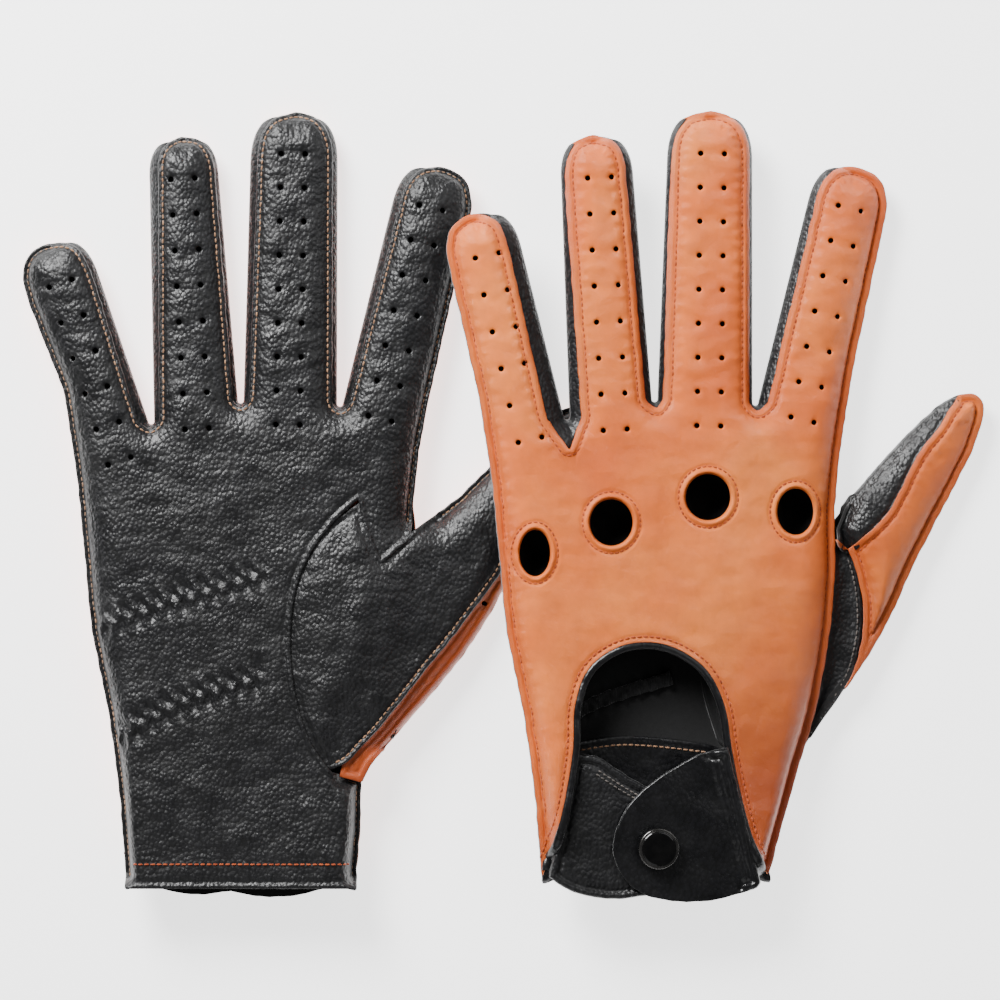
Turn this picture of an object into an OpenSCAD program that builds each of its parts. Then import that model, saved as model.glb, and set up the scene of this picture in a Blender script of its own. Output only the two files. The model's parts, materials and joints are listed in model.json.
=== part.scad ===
// A pair of leather driving gloves, laid on a table. The right glove lies on its back,
// palm up. The left glove lies palm down, with one edge resting on the right glove's thumb.
// Each glove is modelled in its own frame: +X towards the thumb, +Y towards the fingertips,
// +Z out of the back of the hand, with Z = 0 at the palm. place() then sets it on the table.

/* [Leather] */
// Thickness of the hand leather
leather = 1.0; // [0.8:0.1:1.2]
// Thickness of one layer of a closure tab
tab_leather = 0.8; // [0.6:0.1:0.9]
// Height of the glove, palm to back, at the middle fingertip
tip_height = 12; // [11:0.5:13]
// Height of the glove, palm to back, at the wrist edge
wrist_height = 17; // [16:0.5:18]

/* [Knuckle holes] */
// Radius of a knuckle hole along the fingers
knuckle_r = 7.1; // [6:0.1:8]
// Width of the leather facing behind a knuckle hole
facing_w = 3.2; // [2.5:0.1:4]

/* [Closure] */
// Diameter of the snap cap
cap_d = 12.8; // [11:0.1:14]
// Height of the snap cap above its tab
cap_h = 2.4; // [2:0.1:3]
// Width of the black binding along the opening on the back
binding_w = 1.8; // [1.4:0.1:2]

/* [Lay on the table] */
// Distance between the two gloves' centre lines
glove_spacing = 127.1; // [126.5:0.1:132]
// Angle at which the left glove leans on the right glove's thumb
lean_angle = 6.3; // [6.3:0.1:9]

/* [Hidden] */
$fn = 48;
SIDES = ["left", "right"];
PIECES = [
    "back_panel", "palm_panel",
    "fourchette_pinky_ring", "fourchette_ring_middle", "fourchette_middle_index",
    "thumb_back", "thumb_front", "thumb_gusset", "aperture_binding",
    "knuckle_facing_pinky", "knuckle_facing_ring", "knuckle_facing_middle", "knuckle_facing_index",
    "wrist_facing", "palm_elastic_upper", "palm_elastic_lower",
    "over_tab", "over_tab_lining", "snap_cap", "snap_socket",
    "under_tab", "under_tab_lining", "snap_stud", "snap_post"
];
NODES = [for (side = SIDES) for (piece = PIECES) str(side, "_", piece)];
node = "all";

// Colours
TAN = [0.85, 0.50, 0.29];
BLACK = [0.10, 0.10, 0.11];
METAL = [0.16, 0.15, 0.15];
ELASTIC = [0.20, 0.20, 0.21];

// Fingertips, pinky to index: [top of the tip, half width, lean in degrees, + towards the thumb].
// The right glove's pinky is spread a little further than the left one's.
FINGERS = [
    [[[-58.6, 89.3], 11.6, -13], [[-21.6, 113.8], 11.3, -3.4],
     [[14.6, 121.5], 13.4, 1], [[60.3, 104.6], 12.4, 13]],
    [[[-62.7, 80.6], 11.6, -18.5], [[-21.5, 113.8], 10.8, -3.4],
     [[13.7, 121.5], 13.6, 1], [[59.3, 104.4], 12.3, 13.5]]
];
// Bottoms of the three gaps between the fingers
CROTCHES = [[[-30.4, 26], [-3, 31.5], [28.5, 30.5]], [[-30.8, 24.5], [-3, 31], [27.8, 30]]];
// Outer edge of the hand below the pinky, from the wrist up
OUTER_EDGE = [[-38.5, -113], [-40.5, -89], [-44, -64], [-49, -39], [-51.5, -14], [-54, 10], [-58, 35]];
// Edge of the hand below the index finger, down to the thumb crotch, and on down the back to the wrist
INDEX_EDGE = [[[59.5, 44], [55.5, 20], [53.2, -1]], [[58, 44], [53, 20], [50.5, -1]]];
BACK_EDGE = [
    [[53.4, -20], [51.6, -40], [47, -64], [41.5, -82], [38.4, -93], [35.5, -103], [32.6, -113.5]],
    [[52.5, -20], [51, -40], [45, -64], [37.5, -81], [34.6, -86], [34.2, -101], [33, -113.5]]
];
// Lowest points of the back panel's two legs, and the arch-shaped opening between them
LEG_ENDS = [[32.2, -114.5], [-38.3, -114.5]];
ARCH = [[29, -111], [25, -102], [21.5, -88], [19, -75], [16.8, -62], [11.5, -51.5], [3, -45.3], [-6, -43],
    [-15.5, -44.5], [-24.3, -51], [-28.4, -62], [-29, -75], [-31.4, -90], [-34.5, -103], [-37, -110]];
// The wrist edge of the palm, and the edge that the thumb piece is sewn into, from the wrist to the crotch
HEM_Y = [-116.5, -119];
HEM_CORNERS = [33.5, -38];
THUMB_SEAM = [[25.5, -83], [18.8, -73], [14.3, -58], [13, -42], [14.8, -26.5], [20, -14.5], [27, -5.5]];
THUMB_NOTCH = [[33.8, 1], [35.5, -8], [39.5, -20.5]];
THUMB_CROTCH = [[52.4, -9], [50, -11]];
// The thumb: its edge from the crotch to the tip, its tip, and its edge back to the wrist
THUMB_UP = [[60, 3.5], [71, 16], [82, 27]];
THUMB_TIP = [[90.5, 33.3], [97.5, 34], [100, 29]];
THUMB_DOWN = [[96.4, 16.7], [90, 4], [83.4, -8.5], [77.2, -21], [71.9, -33], [65, -45.5], [56.4, -58],
    [46, -72]];
// Edge between the gusset and the back of the thumb, from the wrist to the crotch
GUSSET_EDGE = [[53.5, -61], [59, -50], [62, -38], [61, -25], [56.5, -14]];
// Turn of the right glove's thumb towards the wrist, about its root
THUMB_TURN = [0, -4.5];
THUMB_ROOT = [45, -60];
// Knuckle holes, pinky to index: [centre, half width across the hand]
KNUCKLES = [[[-41, -15], 4.6], [[-17.5, -5.7], 6.6], [[12.6, 2.1], 6.9], [[40, -2.4], 5.7]];
// Width of each facing to the sides of its hole, which is less beside the edges of the hand
FACING_SIDE = [0.9, 3.2, 3.2, 0.7];
// Elastic tapes on the inside of the palm: the two ends of each
ELASTICS = [[[-45, -37.5], [4, -22]], [[-37.5, -71], [3, -54]]];
ELASTIC_W = 4;

// Closure tabs, seen from the back. Each fold line is where the tab leaves the binding.
SNAP = [-3.4, -105.6];
OVER_FOLD = [[15.4, -75.5], [26.3, -116]];
UNDER_FOLD = [[-26.2, -76], [-34, -114.5]];
OVER_EDGE = [[23.5, -119.6], [12.6, -122], [1.6, -122], [-6.2, -120.3], [-11.7, -117], [-15.6, -111.5],
    [-17, -105.5], [-15.6, -99], [-12.3, -92.8], [-6.2, -86.7], [1.5, -81.5], [9.9, -77]];
UNDER_EDGE = [[-20.6, -78], [-13.9, -82.5], [-7.9, -86.1], [-1, -90], [4, -95], [6, -103], [4, -112],
    [-1, -118.5], [-10.6, -121], [-18, -121.3], [-26.1, -120], [-32, -117.8]];

// Levels of the closure, as heights over the palm
CLOSURE_Z = 16.5;
GAP = 0.3;
SNAP_GAP = 2.4;
UNDER_TOP = CLOSURE_Z - 3.2;
OVER_BOTTOM = UNDER_TOP + SNAP_GAP;
OVER_TOP = OVER_BOTTOM + 2 * tab_leather;
FOLD_Z = OVER_TOP + 0.6;
SOCKET_R = 5.0;
SOCKET_BORE = 3.6;
STUD_R = 3.0;
RIVET_R = 1.6;

// Rounding of the edges: how far in, and how far down, at an outer seam, a fourchette and a cut edge
OUTER_ROUND = 4;
FOURCHETTE_ROUND = [2, 2.2];
CUT_ROUND = [0.3, 0.2];
// Where the rounding narrows down the legs at the wrist, and where the thumb piece tapers to a point
LEG_Y = [-86, -110];
LEAF_Y = [-18, -52];
SEAM_GAP = 0.05;
TIP_POWER = 2.7;
TIP_STEPS = 14;
SPLINE_STEPS = 3;
WALL_STEPS = 4;
HOLE_STEPS = 24;

// Where the gloves lie. The left one leans about the thumb-side edge of its flat palm, and the
// right one rests on its middle fingertip and on its snap cap.
LEFT_X = 48.5;
RIGHT_X = LEFT_X - glove_spacing;
SHIFT_Y = 0.28;
LEAN_X = 66.2;
REST_Y = [116.7, SNAP.y + cap_d / 2 - 3.8];
REST_Z = [tip_height + (wrist_height - tip_height) * (121.5 - REST_Y[0]) / 240, OVER_TOP + cap_h];
PITCH = atan((REST_Z[1] - REST_Z[0]) / (REST_Y[0] - REST_Y[1]));

// Heights over the palm. The left thumb lies on the table, and the right one between the table and
// the left glove.
function floor_z(p) = REST_Z[0] + (REST_Y[0] - p.y) * tan(PITCH);
function back_z(p) = tip_height + (wrist_height - tip_height) * (121.5 - p.y) / 240;
function thumb_front_z(g, p) =
    g == 0 ? max(0, tan(lean_angle) * (p.x - LEAN_X))
    : max(0, floor_z(p) - tan(lean_angle) * (LEFT_X + LEAN_X - RIGHT_X - p.x) + GAP);
function thumb_back_z(g, p) =
    g == 0 ? thumb_front_z(g, p) + 14.5 - 0.075 * (p.x - 45)
    : min(floor_z(p), back_z(p) + 0.08 * (p.x - 45));

// Height of a panel: kind 0 is the palm, 1 the back, 2 the back of the thumb and 3 its front
function plane_z(g, kind, p) =
    kind == 0 ? 0 : kind == 1 ? back_z(p) : kind == 2 ? thumb_back_z(g, p) : thumb_front_z(g, p);
function full_height(g, kind, p) = kind < 2 ? back_z(p) : thumb_back_z(g, p) - thumb_front_z(g, p);

// Points -------------------------------------------------------------------------------------

function turn(p, a, c = [0, 0]) =
    let (d = [p.x - c.x, p.y - c.y]) [c.x + d.x * cos(a) - d.y * sin(a), c.y + d.x * sin(a) + d.y * cos(a)];
function reversed(list) = [for (i = [len(list) - 1:-1:0]) list[i]];
function marked(list, w) = [for (p = list) [p.x, p.y, w]];
// Edge points marked as more and more narrowly rounded from y = wide down to y = thin
function narrowed(list, wide, thin) =
    [for (p = list) [p.x, p.y, -0.9 * min(1, max(0, (wide - p.y) / (wide - thin)))]];

// A smooth curve through points, SPLINE_STEPS points to each span
function curve_at(a, b, c, d, t) =
    0.5 * (2 * b + (c - a) * t + (2 * a - 5 * b + 4 * c - d) * t * t + (3 * b - a - 3 * c + d) * t * t * t);
function smooth(p, steps = SPLINE_STEPS) =
    let (n = len(p))
    concat([for (i = [0:n - 2]) for (k = [0:steps - 1])
        curve_at(p[max(i - 1, 0)], p[i], p[i + 1], p[min(i + 2, n - 1)], k / steps)], [p[n - 1]]);
function smooth_loop(p, steps = SPLINE_STEPS) =
    let (n = len(p))
    [for (i = [0:n - 1]) for (k = [0:steps - 1])
        curve_at(p[(i + n - 1) % n], p[i], p[(i + 1) % n], p[(i + 2) % n], k / steps)];

// A fingertip: half a rounded square, from the pinky side to the thumb side. The third number of a
// point is 0 at an outer seam and 1 at a fourchette, which runs out to nothing at the top of the tip.
function power(x, e) = sign(x) * pow(abs(x), e);
function fingertip(f, first, last) =
    let (r = f[1], lean = -f[2], centre = [f[0].x, f[0].y] - turn([0, 1.3 * r], lean))
    [for (k = [0:TIP_STEPS])
        let (t = 180 - 180 * k / TIP_STEPS,
             e = 2 / TIP_POWER,
             p = centre + turn([r * power(cos(t), e), 1.3 * r * power(sin(t), e)], lean),
             w = (t > 90 && first) || (t < 90 && last) ? 0 : pow(abs(cos(t)), 0.7))
        [p.x, p.y, w]];

// The bottom of a gap between two fingers
function crotch(c) = [[c.x - 0.9, c.y + 1.6, 1], [c.x, c.y, 1], [c.x + 0.9, c.y + 1.6, 1]];
function side(a, b) = [for (k = [1:WALL_STEPS - 1]) a + (b - a) * k / WALL_STEPS];

// Fingertip f, the gap after it and the side walls between, as one list for each finger
function tip_of(g, f) = fingertip(FINGERS[g][f], f == 0, f == 3);
function gap_of(g, f) =
    let (c = crotch(CROTCHES[g][f]), a = tip_of(g, f), b = tip_of(g, f + 1))
    concat(side(a[TIP_STEPS], c[0]), c, side(c[2], b[0]));

function hand_edge(g) = concat(
    narrowed(smooth(OUTER_EDGE), LEG_Y[0], LEG_Y[1]),
    tip_of(g, 0), gap_of(g, 0), tip_of(g, 1), gap_of(g, 1), tip_of(g, 2), gap_of(g, 2), tip_of(g, 3),
    marked(smooth(INDEX_EDGE[g]), 0));

// Outlines run clockwise seen from the back. A third number of -1 is a cut edge, and one between -1
// and 0 is an edge with little room for its rounding.
function back_outline(g) = concat(
    hand_edge(g), narrowed(smooth(BACK_EDGE[g]), LEG_Y[0], LEG_Y[1]), [[LEG_ENDS[0].x, LEG_ENDS[0].y, -1]],
    marked(smooth(ARCH), -1), [[LEG_ENDS[1].x, LEG_ENDS[1].y, -1]]);
function palm_outline(g) = concat(
    hand_edge(g), [[THUMB_CROTCH[g].x, THUMB_CROTCH[g].y, -1]],
    marked(reversed(THUMB_NOTCH), -1), marked(reversed(smooth(THUMB_SEAM)), -1),
    narrowed([for (i = [4:len(BACK_EDGE[g]) - 1]) BACK_EDGE[g][i]], LEG_Y[0], LEG_Y[1]),
    [[HEM_CORNERS[0], HEM_Y[g] + 0.3, -0.9], [HEM_CORNERS[0] - 0.3, HEM_Y[g], -1],
     [HEM_CORNERS[1] + 0.3, HEM_Y[g], -1], [HEM_CORNERS[1], HEM_Y[g] + 0.3, -0.9]]);

function thumb_side(g) =
    [for (p = concat(THUMB_UP, THUMB_TIP, THUMB_DOWN)) turn(p, THUMB_TURN[g], THUMB_ROOT)];
function thumb_back_outline(g) = narrowed(concat(
    [[THUMB_CROTCH[g].x + 3, THUMB_CROTCH[g].y + 1]], smooth(thumb_side(g)), smooth(GUSSET_EDGE)),
    LEAF_Y[0], LEAF_Y[1]);
function thumb_front_outline(g) = concat(
    [[THUMB_CROTCH[g].x + 1, THUMB_CROTCH[g].y, -1]], narrowed(smooth(thumb_side(g)), LEAF_Y[0], LEAF_Y[1]),
    [[BACK_EDGE[g][3].x, BACK_EDGE[g][3].y + 2, -0.9], [BACK_EDGE[g][3].x - 1, BACK_EDGE[g][3].y, -1],
     [THUMB_SEAM[0].x + 1, THUMB_SEAM[0].y, -1]],
    [for (p = smooth([for (i = [1:6]) THUMB_SEAM[i]])) [p.x + 0.4, p.y, -1]],
    [[33.2, -1.5, -1], [34.6, -8.3, -1], [39.3, -21.2, -1]]);

// Inward normal at point i of a clockwise loop
function inward(o, i) =
    let (n = len(o), a = o[(i + n - 1) % n], b = o[(i + 1) % n], d = [b.y - a.y, a.x - b.x])
    d / max(norm(d), 0.001);

// Triangles that fill a clockwise loop, by cutting off one corner at a time
function bend(a, b, c) = (b.x - a.x) * (c.y - a.y) - (b.y - a.y) * (c.x - a.x);
function is_ear(p, ids, k) =
    let (n = len(ids), i = ids[(k + n - 1) % n], j = ids[k], m = ids[(k + 1) % n],
         a = p[i], b = p[j], c = p[m])
    bend(a, b, c) < -0.0001 && len([for (q = ids)
        if (q != i && q != j && q != m && bend(a, b, p[q]) <= 0 && bend(b, c, p[q]) <= 0
            && bend(c, a, p[q]) <= 0) 1]) == 0;
function next_ear(p, ids, k, tries) =
    tries == 0 || is_ear(p, ids, k) ? k : next_ear(p, ids, (k + 1) % len(ids), tries - 1);
function filled(p, ids, start = 0, done = []) =
    len(ids) == 3 ? concat(done, [ids])
    : let (n = len(ids), k = next_ear(p, ids, start % n, n))
      filled(p, [for (i = [0:n - 1]) if (i != k) ids[i]], k + 1,
          concat(done, [[ids[(k + n - 1) % n], ids[k], ids[(k + 1) % n]]]));

// Solids ---------------------------------------------------------------------------------------

// How far the rounded edge reaches in, and down, at outline point p of a panel of height h
function reach(p, h) = p[2] == -1 ? CUT_ROUND
    : p[2] < 0 ? [OUTER_ROUND * (1 + p[2]), h / 2 - SEAM_GAP]
    : [OUTER_ROUND + (FOURCHETTE_ROUND[0] - OUTER_ROUND) * p[2],
       h / 2 + (FOURCHETTE_ROUND[1] - h / 2) * p[2] - SEAM_GAP];

// Triangles between two rings of n points that start at points a and b
function band(a, b, n, flip) = [for (i = [0:n - 1])
    let (j = (i + 1) % n) each flip ? [[a + i, b + i, b + j], [a + i, b + j, a + j]]
        : [[a + i, a + j, b + j], [a + i, b + j, b + i]]];
function count_up(a, n) = [for (i = [0:n - 1]) a + i];
function turned(faces) = [for (f = faces) reversed(f)];

// An oval ring, clockwise from its pinky side
function oval(centre, rx, ry) = [for (k = [0:HOLE_STEPS - 1])
    let (a = 180 - 360 * k / HOLE_STEPS) [centre.x + rx * cos(a), centre.y + ry * sin(a)]];

// A sheet of leather with a flat middle and a rounded edge that turns towards the other side of the
// glove. Holes lie in a row, and divide the flat part from outline point cut[0] to point cut[1].
module panel(g, outline, kind, holes = [], cut = [0, 0]) {
    n = len(outline);
    m = HOLE_STEPS;
    up = kind == 0 || kind == 3 ? -1 : 1;
    angles = [0, 45, 90];
    outer = [for (a = angles) for (i = [0:n - 1])
        let (p = outline[i], r = reach(p, full_height(g, kind, p)),
             q = [p.x, p.y] + inward(outline, i) * r[0] * (1 - cos(a)))
        [q.x, q.y, plane_z(g, kind, q) - up * r[1] * (1 - sin(a))]];
    inner = [for (k = [0:2]) for (i = [0:n - 1])
        let (p = outline[i], a = p[2] == -1 ? 90 : angles[k], q = outer[k * n + i],
             d = inward(outline, i) * leather * cos(a))
        [q.x + d.x, q.y + d.y, q.z - up * leather * sin(a)]];
    rims = [for (h = holes) for (d = [0, leather]) for (p = h) [p.x, p.y, plane_z(g, kind, p) - up * d]];
    points = concat(outer, inner, rims);
    count = len(holes);
    // The flat part on the outside (side 0) or the inside (side 1), in one loop or in two
    function loops(side) =
        let (base = side == 0 ? 2 * n : 5 * n, ring = 6 * n + side * m)
        count == 0 ? [count_up(base, n)] : [
            concat([for (i = [cut[0]:cut[1]]) base + i],
                [for (k = [count - 1:-1:0]) for (j = [m / 2:-1:0]) ring + 2 * m * k + j]),
            concat([for (i = [cut[1]:cut[0] + n]) base + i % n],
                [for (k = [0:count - 1]) for (j = [0:m / 2]) ring + 2 * m * k + (m - j) % m])];
    outside = [for (loop = loops(0)) each filled(points, loop)];
    inside = [for (loop = loops(1)) each filled(points, loop)];
    walls = [for (k = [0:1:count - 1]) each band(6 * n + 2 * m * k, 6 * n + 2 * m * k + m, m, false)];
    faces = concat(
        band(0, n, n, false), band(n, 2 * n, n, false),
        band(3 * n, 4 * n, n, true), band(4 * n, 5 * n, n, true),
        band(0, 3 * n, n, true), outside, turned(inside), walls);
    polyhedron(points = points, faces = up > 0 ? faces : turned(faces), convexity = 8);
}

// A strip through a list of four-cornered sections
module ribbon(sections) {
    n = len(sections);
    polyhedron(
        points = [for (s = sections) each s],
        faces = concat(
            [for (i = [0:n - 2]) for (k = [0:3])
                let (a = 4 * i + k, b = 4 * i + (k + 1) % 4) each [[a, a + 4, b + 4], [a, b + 4, b]]],
            [[0, 1, 2], [0, 2, 3], [4 * n - 2, 4 * n - 3, 4 * n - 4], [4 * n - 1, 4 * n - 2, 4 * n - 4]]),
        convexity = 6);
}

module back_panel(g) color(TAN)
    panel(g, back_outline(g), 1, [for (k = KNUCKLES) oval(k[0], k[1], knuckle_r)],
        [12, len(hand_edge(g)) - 1]);

module palm_panel(g) color(BLACK) panel(g, palm_outline(g), 0);
module thumb_back(g) color(TAN) panel(g, thumb_back_outline(g), 2);
module thumb_front(g) color(BLACK) panel(g, thumb_front_outline(g), 3);

// The strip of leather in the gap after finger f, from one fingertip down to the crotch and up to the next
module fourchette(g, f) color(BLACK) {
    a = tip_of(g, f);
    b = tip_of(g, f + 1);
    half = TIP_STEPS / 2;
    path = concat([for (k = [half + 2:TIP_STEPS]) a[k]], gap_of(g, f), [for (k = [0:half - 2]) b[k]]);
    n = len(path);
    ribbon([for (i = [0:n - 1])
        let (p = path[i], before = path[max(i - 1, 0)], after = path[min(i + 1, n - 1)],
             d = [after.y - before.y, before.x - after.x], q = [p.x, p.y] + d / norm(d) * leather,
             low = reach(p, back_z(p))[1] + 2 * SEAM_GAP, high = back_z(p) - low)
        [[p.x, p.y, low], [p.x, p.y, high], [q.x, q.y, high], [q.x, q.y, low]]]);
}

// The leaf-shaped leather between the back panel's thumb edge and the back of the thumb
module thumb_gusset(g) color(BLACK) {
    far = smooth(reversed(GUSSET_EDGE));
    n = len(far);
    ribbon([for (i = [0:n - 1])
        let (t = i / (n - 1), p = [far[i].x + 0.6 - 2.2 * pow(t, 4), far[i].y],
             q = [54.2 - 8.8 * pow(t, 1.6), far[i].y - 2],
             u = (thumb_front_z(g, p) + thumb_back_z(g, p)) / 2 - 0.4, v = back_z(q) / 2 - 0.4)
        [[p.x, p.y, u], [p.x, p.y, u - leather], [q.x - 1.5, q.y, v - leather], [q.x - 1.5, q.y, v]]]);
}

// Piping along the arch-shaped opening
module aperture_binding(g) color(BLACK) {
    edge = smooth(ARCH);
    n = len(edge);
    ribbon([for (i = [0:n - 1])
        let (a = edge[max(i - 1, 0)], b = edge[min(i + 1, n - 1)], d = [b.y - a.y, a.x - b.x] / norm(b - a),
             p = edge[i] - d * 0.06, q = edge[i] - d * binding_w, z = back_z(edge[i]))
        [[p.x, p.y, z - 2.4], [p.x, p.y, z + 0.3], [q.x, q.y, z + 0.3], [q.x, q.y, z - 2.4]]]);
}

module ellipse_cut(centre, rx, ry, z, h) translate([0, 0, z]) linear_extrude(h) polygon(oval(centre, rx, ry));

// A ring of leather behind a knuckle hole
module knuckle_facing(g, i) color(TAN) {
    k = KNUCKLES[i];
    z = back_z([0, k[0].y + knuckle_r + facing_w]) - leather - 0.6 - SEAM_GAP;
    difference() {
        ellipse_cut(k[0], k[1] + FACING_SIDE[i], knuckle_r + facing_w, z, 0.6);
        ellipse_cut(k[0], k[1], knuckle_r, z - 1, 3);
    }
}

// A leather lining on the inside of the palm at the wrist
module wrist_facing(g) color(BLACK) {
    top = HEM_Y[g] + 43;
    translate([0, 0, leather + SEAM_GAP]) linear_extrude(0.8)
        polygon([[-34.5, HEM_Y[g] + 0.5], [-36.5, top - 2], [-12, top + 1.5], [14, top - 1],
            [19, top - 4.5], [23.5, -87], [29, -92], [29, HEM_Y[g] + 0.5]]);
}

module palm_elastic(g, i) color(ELASTIC) {
    a = ELASTICS[i][0];
    b = ELASTICS[i][1];
    d = (b - a) / norm(b - a);
    q = [-d.y, d.x] * ELASTIC_W / 2;
    z = leather + (i == 0 ? 0 : 0.8 + SEAM_GAP) + SEAM_GAP;
    translate([0, 0, z]) linear_extrude(0.7) polygon([a + q, b + q, b - q, a - q]);
}

function over_outline() = concat([OVER_FOLD[0], OVER_FOLD[1]], smooth(OVER_EDGE));
function under_outline() = concat([UNDER_FOLD[1], UNDER_FOLD[0]], smooth(UNDER_EDGE));

// One layer of a tab, with the rivet hole for the snap
module tab_layer(outline, z, hole_r) color(BLACK) difference() {
    translate([0, 0, z]) linear_extrude(tab_leather - SEAM_GAP) polygon(outline);
    translate([SNAP.x, SNAP.y, z - 1]) cylinder(h = 3, r = hole_r);
}

module over_tab(g) tab_layer(over_outline(), OVER_BOTTOM + tab_leather + SEAM_GAP, RIVET_R + 0.05);
module over_tab_lining(g) tab_layer(over_outline(), OVER_BOTTOM, RIVET_R + 0.05);
module under_tab(g) tab_layer(under_outline(), UNDER_TOP - tab_leather, RIVET_R + 0.05);
module under_tab_lining(g) tab_layer(under_outline(), UNDER_TOP - 2 * tab_leather - SEAM_GAP, RIVET_R + 0.05);

// The cap with its rivet, which passes through the tab and is clenched in the socket
module snap_cap(g) color(METAL) translate([SNAP.x, SNAP.y, OVER_TOP]) union() {
    r = cap_d / 2;
    rotate_extrude() polygon([[0, SEAM_GAP], [r - 0.4, SEAM_GAP], [r, 0.5], [r - 0.3, 1.2],
        [r - 1.3, 1.9], [r - 2.8, cap_h - 0.1], [r - 3.8, cap_h], [0, cap_h]]);
    translate([0, 0, -2 * tab_leather - 0.4]) cylinder(h = 2 * tab_leather + 0.5, r = RIVET_R);
}

module snap_socket(g) color(METAL) translate([SNAP.x, SNAP.y, OVER_BOTTOM - 1.65]) difference() {
    cylinder(h = 1.6, r = SOCKET_R);
    translate([0, 0, -1]) cylinder(h = 2.2, r = SOCKET_BORE);
    cylinder(h = 3, r = RIVET_R + 0.05);
}

module snap_stud(g) color(METAL) translate([SNAP.x, SNAP.y, UNDER_TOP + SEAM_GAP]) difference() {
    union() {
        cylinder(h = 0.4, r = SOCKET_R - 0.3);
        cylinder(h = 1.45, r = STUD_R);
    }
    translate([0, 0, -1]) cylinder(h = 2, r = RIVET_R + 0.05);
}

module snap_post(g) color(METAL) translate([SNAP.x, SNAP.y, UNDER_TOP - 2 * tab_leather - 2 * SEAM_GAP]) {
    translate([0, 0, -0.6]) cylinder(h = 0.6, r = 4.6);
    cylinder(h = 2 * tab_leather + 0.8, r = RIVET_R);
}

// Places -----------------------------------------------------------------------------------------

module place(g) {
    if (g == 0) translate([LEFT_X + LEAN_X, SHIFT_Y, 0]) rotate([0, lean_angle, 0])
        translate([-LEAN_X, 0, 0]) children();
    if (g == 1) translate([RIGHT_X, SHIFT_Y + REST_Y[0], 0]) rotate([-PITCH, 0, 0])
        translate([0, -REST_Y[0], REST_Z[0]]) mirror([0, 0, 1]) children();
}

function wanted(g, piece) = node == "all" || node == str(SIDES[g], "_", piece);

for (g = [0, 1]) {
    if (wanted(g, "back_panel")) place(g) back_panel(g);
    if (wanted(g, "palm_panel")) place(g) palm_panel(g);
    if (wanted(g, "fourchette_pinky_ring")) place(g) fourchette(g, 0);
    if (wanted(g, "fourchette_ring_middle")) place(g) fourchette(g, 1);
    if (wanted(g, "fourchette_middle_index")) place(g) fourchette(g, 2);
    if (wanted(g, "thumb_back")) place(g) thumb_back(g);
    if (wanted(g, "thumb_front")) place(g) thumb_front(g);
    if (wanted(g, "thumb_gusset")) place(g) thumb_gusset(g);
    if (wanted(g, "aperture_binding")) place(g) aperture_binding(g);
    if (wanted(g, "knuckle_facing_pinky")) place(g) knuckle_facing(g, 0);
    if (wanted(g, "knuckle_facing_ring")) place(g) knuckle_facing(g, 1);
    if (wanted(g, "knuckle_facing_middle")) place(g) knuckle_facing(g, 2);
    if (wanted(g, "knuckle_facing_index")) place(g) knuckle_facing(g, 3);
    if (wanted(g, "wrist_facing")) place(g) wrist_facing(g);
    if (wanted(g, "palm_elastic_upper")) place(g) palm_elastic(g, 0);
    if (wanted(g, "palm_elastic_lower")) place(g) palm_elastic(g, 1);
    if (wanted(g, "over_tab")) place(g) over_tab(g);
    if (wanted(g, "over_tab_lining")) place(g) over_tab_lining(g);
    if (wanted(g, "snap_cap")) place(g) snap_cap(g);
    if (wanted(g, "snap_socket")) place(g) snap_socket(g);
    if (wanted(g, "under_tab")) place(g) under_tab(g);
    if (wanted(g, "under_tab_lining")) place(g) under_tab_lining(g);
    if (wanted(g, "snap_stud")) place(g) snap_stud(g);
    if (wanted(g, "snap_post")) place(g) snap_post(g);
}
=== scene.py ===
"""The looks of a pair of leather driving gloves: grained hides, raised seams, stitches, binding and snaps.

Every piece is shaped in its glove's own frame, in millimetres: +X towards the thumb, +Y towards the
fingertips, +Z out of the back of the hand, Z = 0 at the palm. glove_frame() finds where that frame
lies from the fold lines of the closure tabs in the record.
"""

import json
import math

import bpy
import numpy as np
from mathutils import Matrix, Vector
from mathutils.geometry import delaunay_2d_cdt
from numpy.linalg import norm


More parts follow.
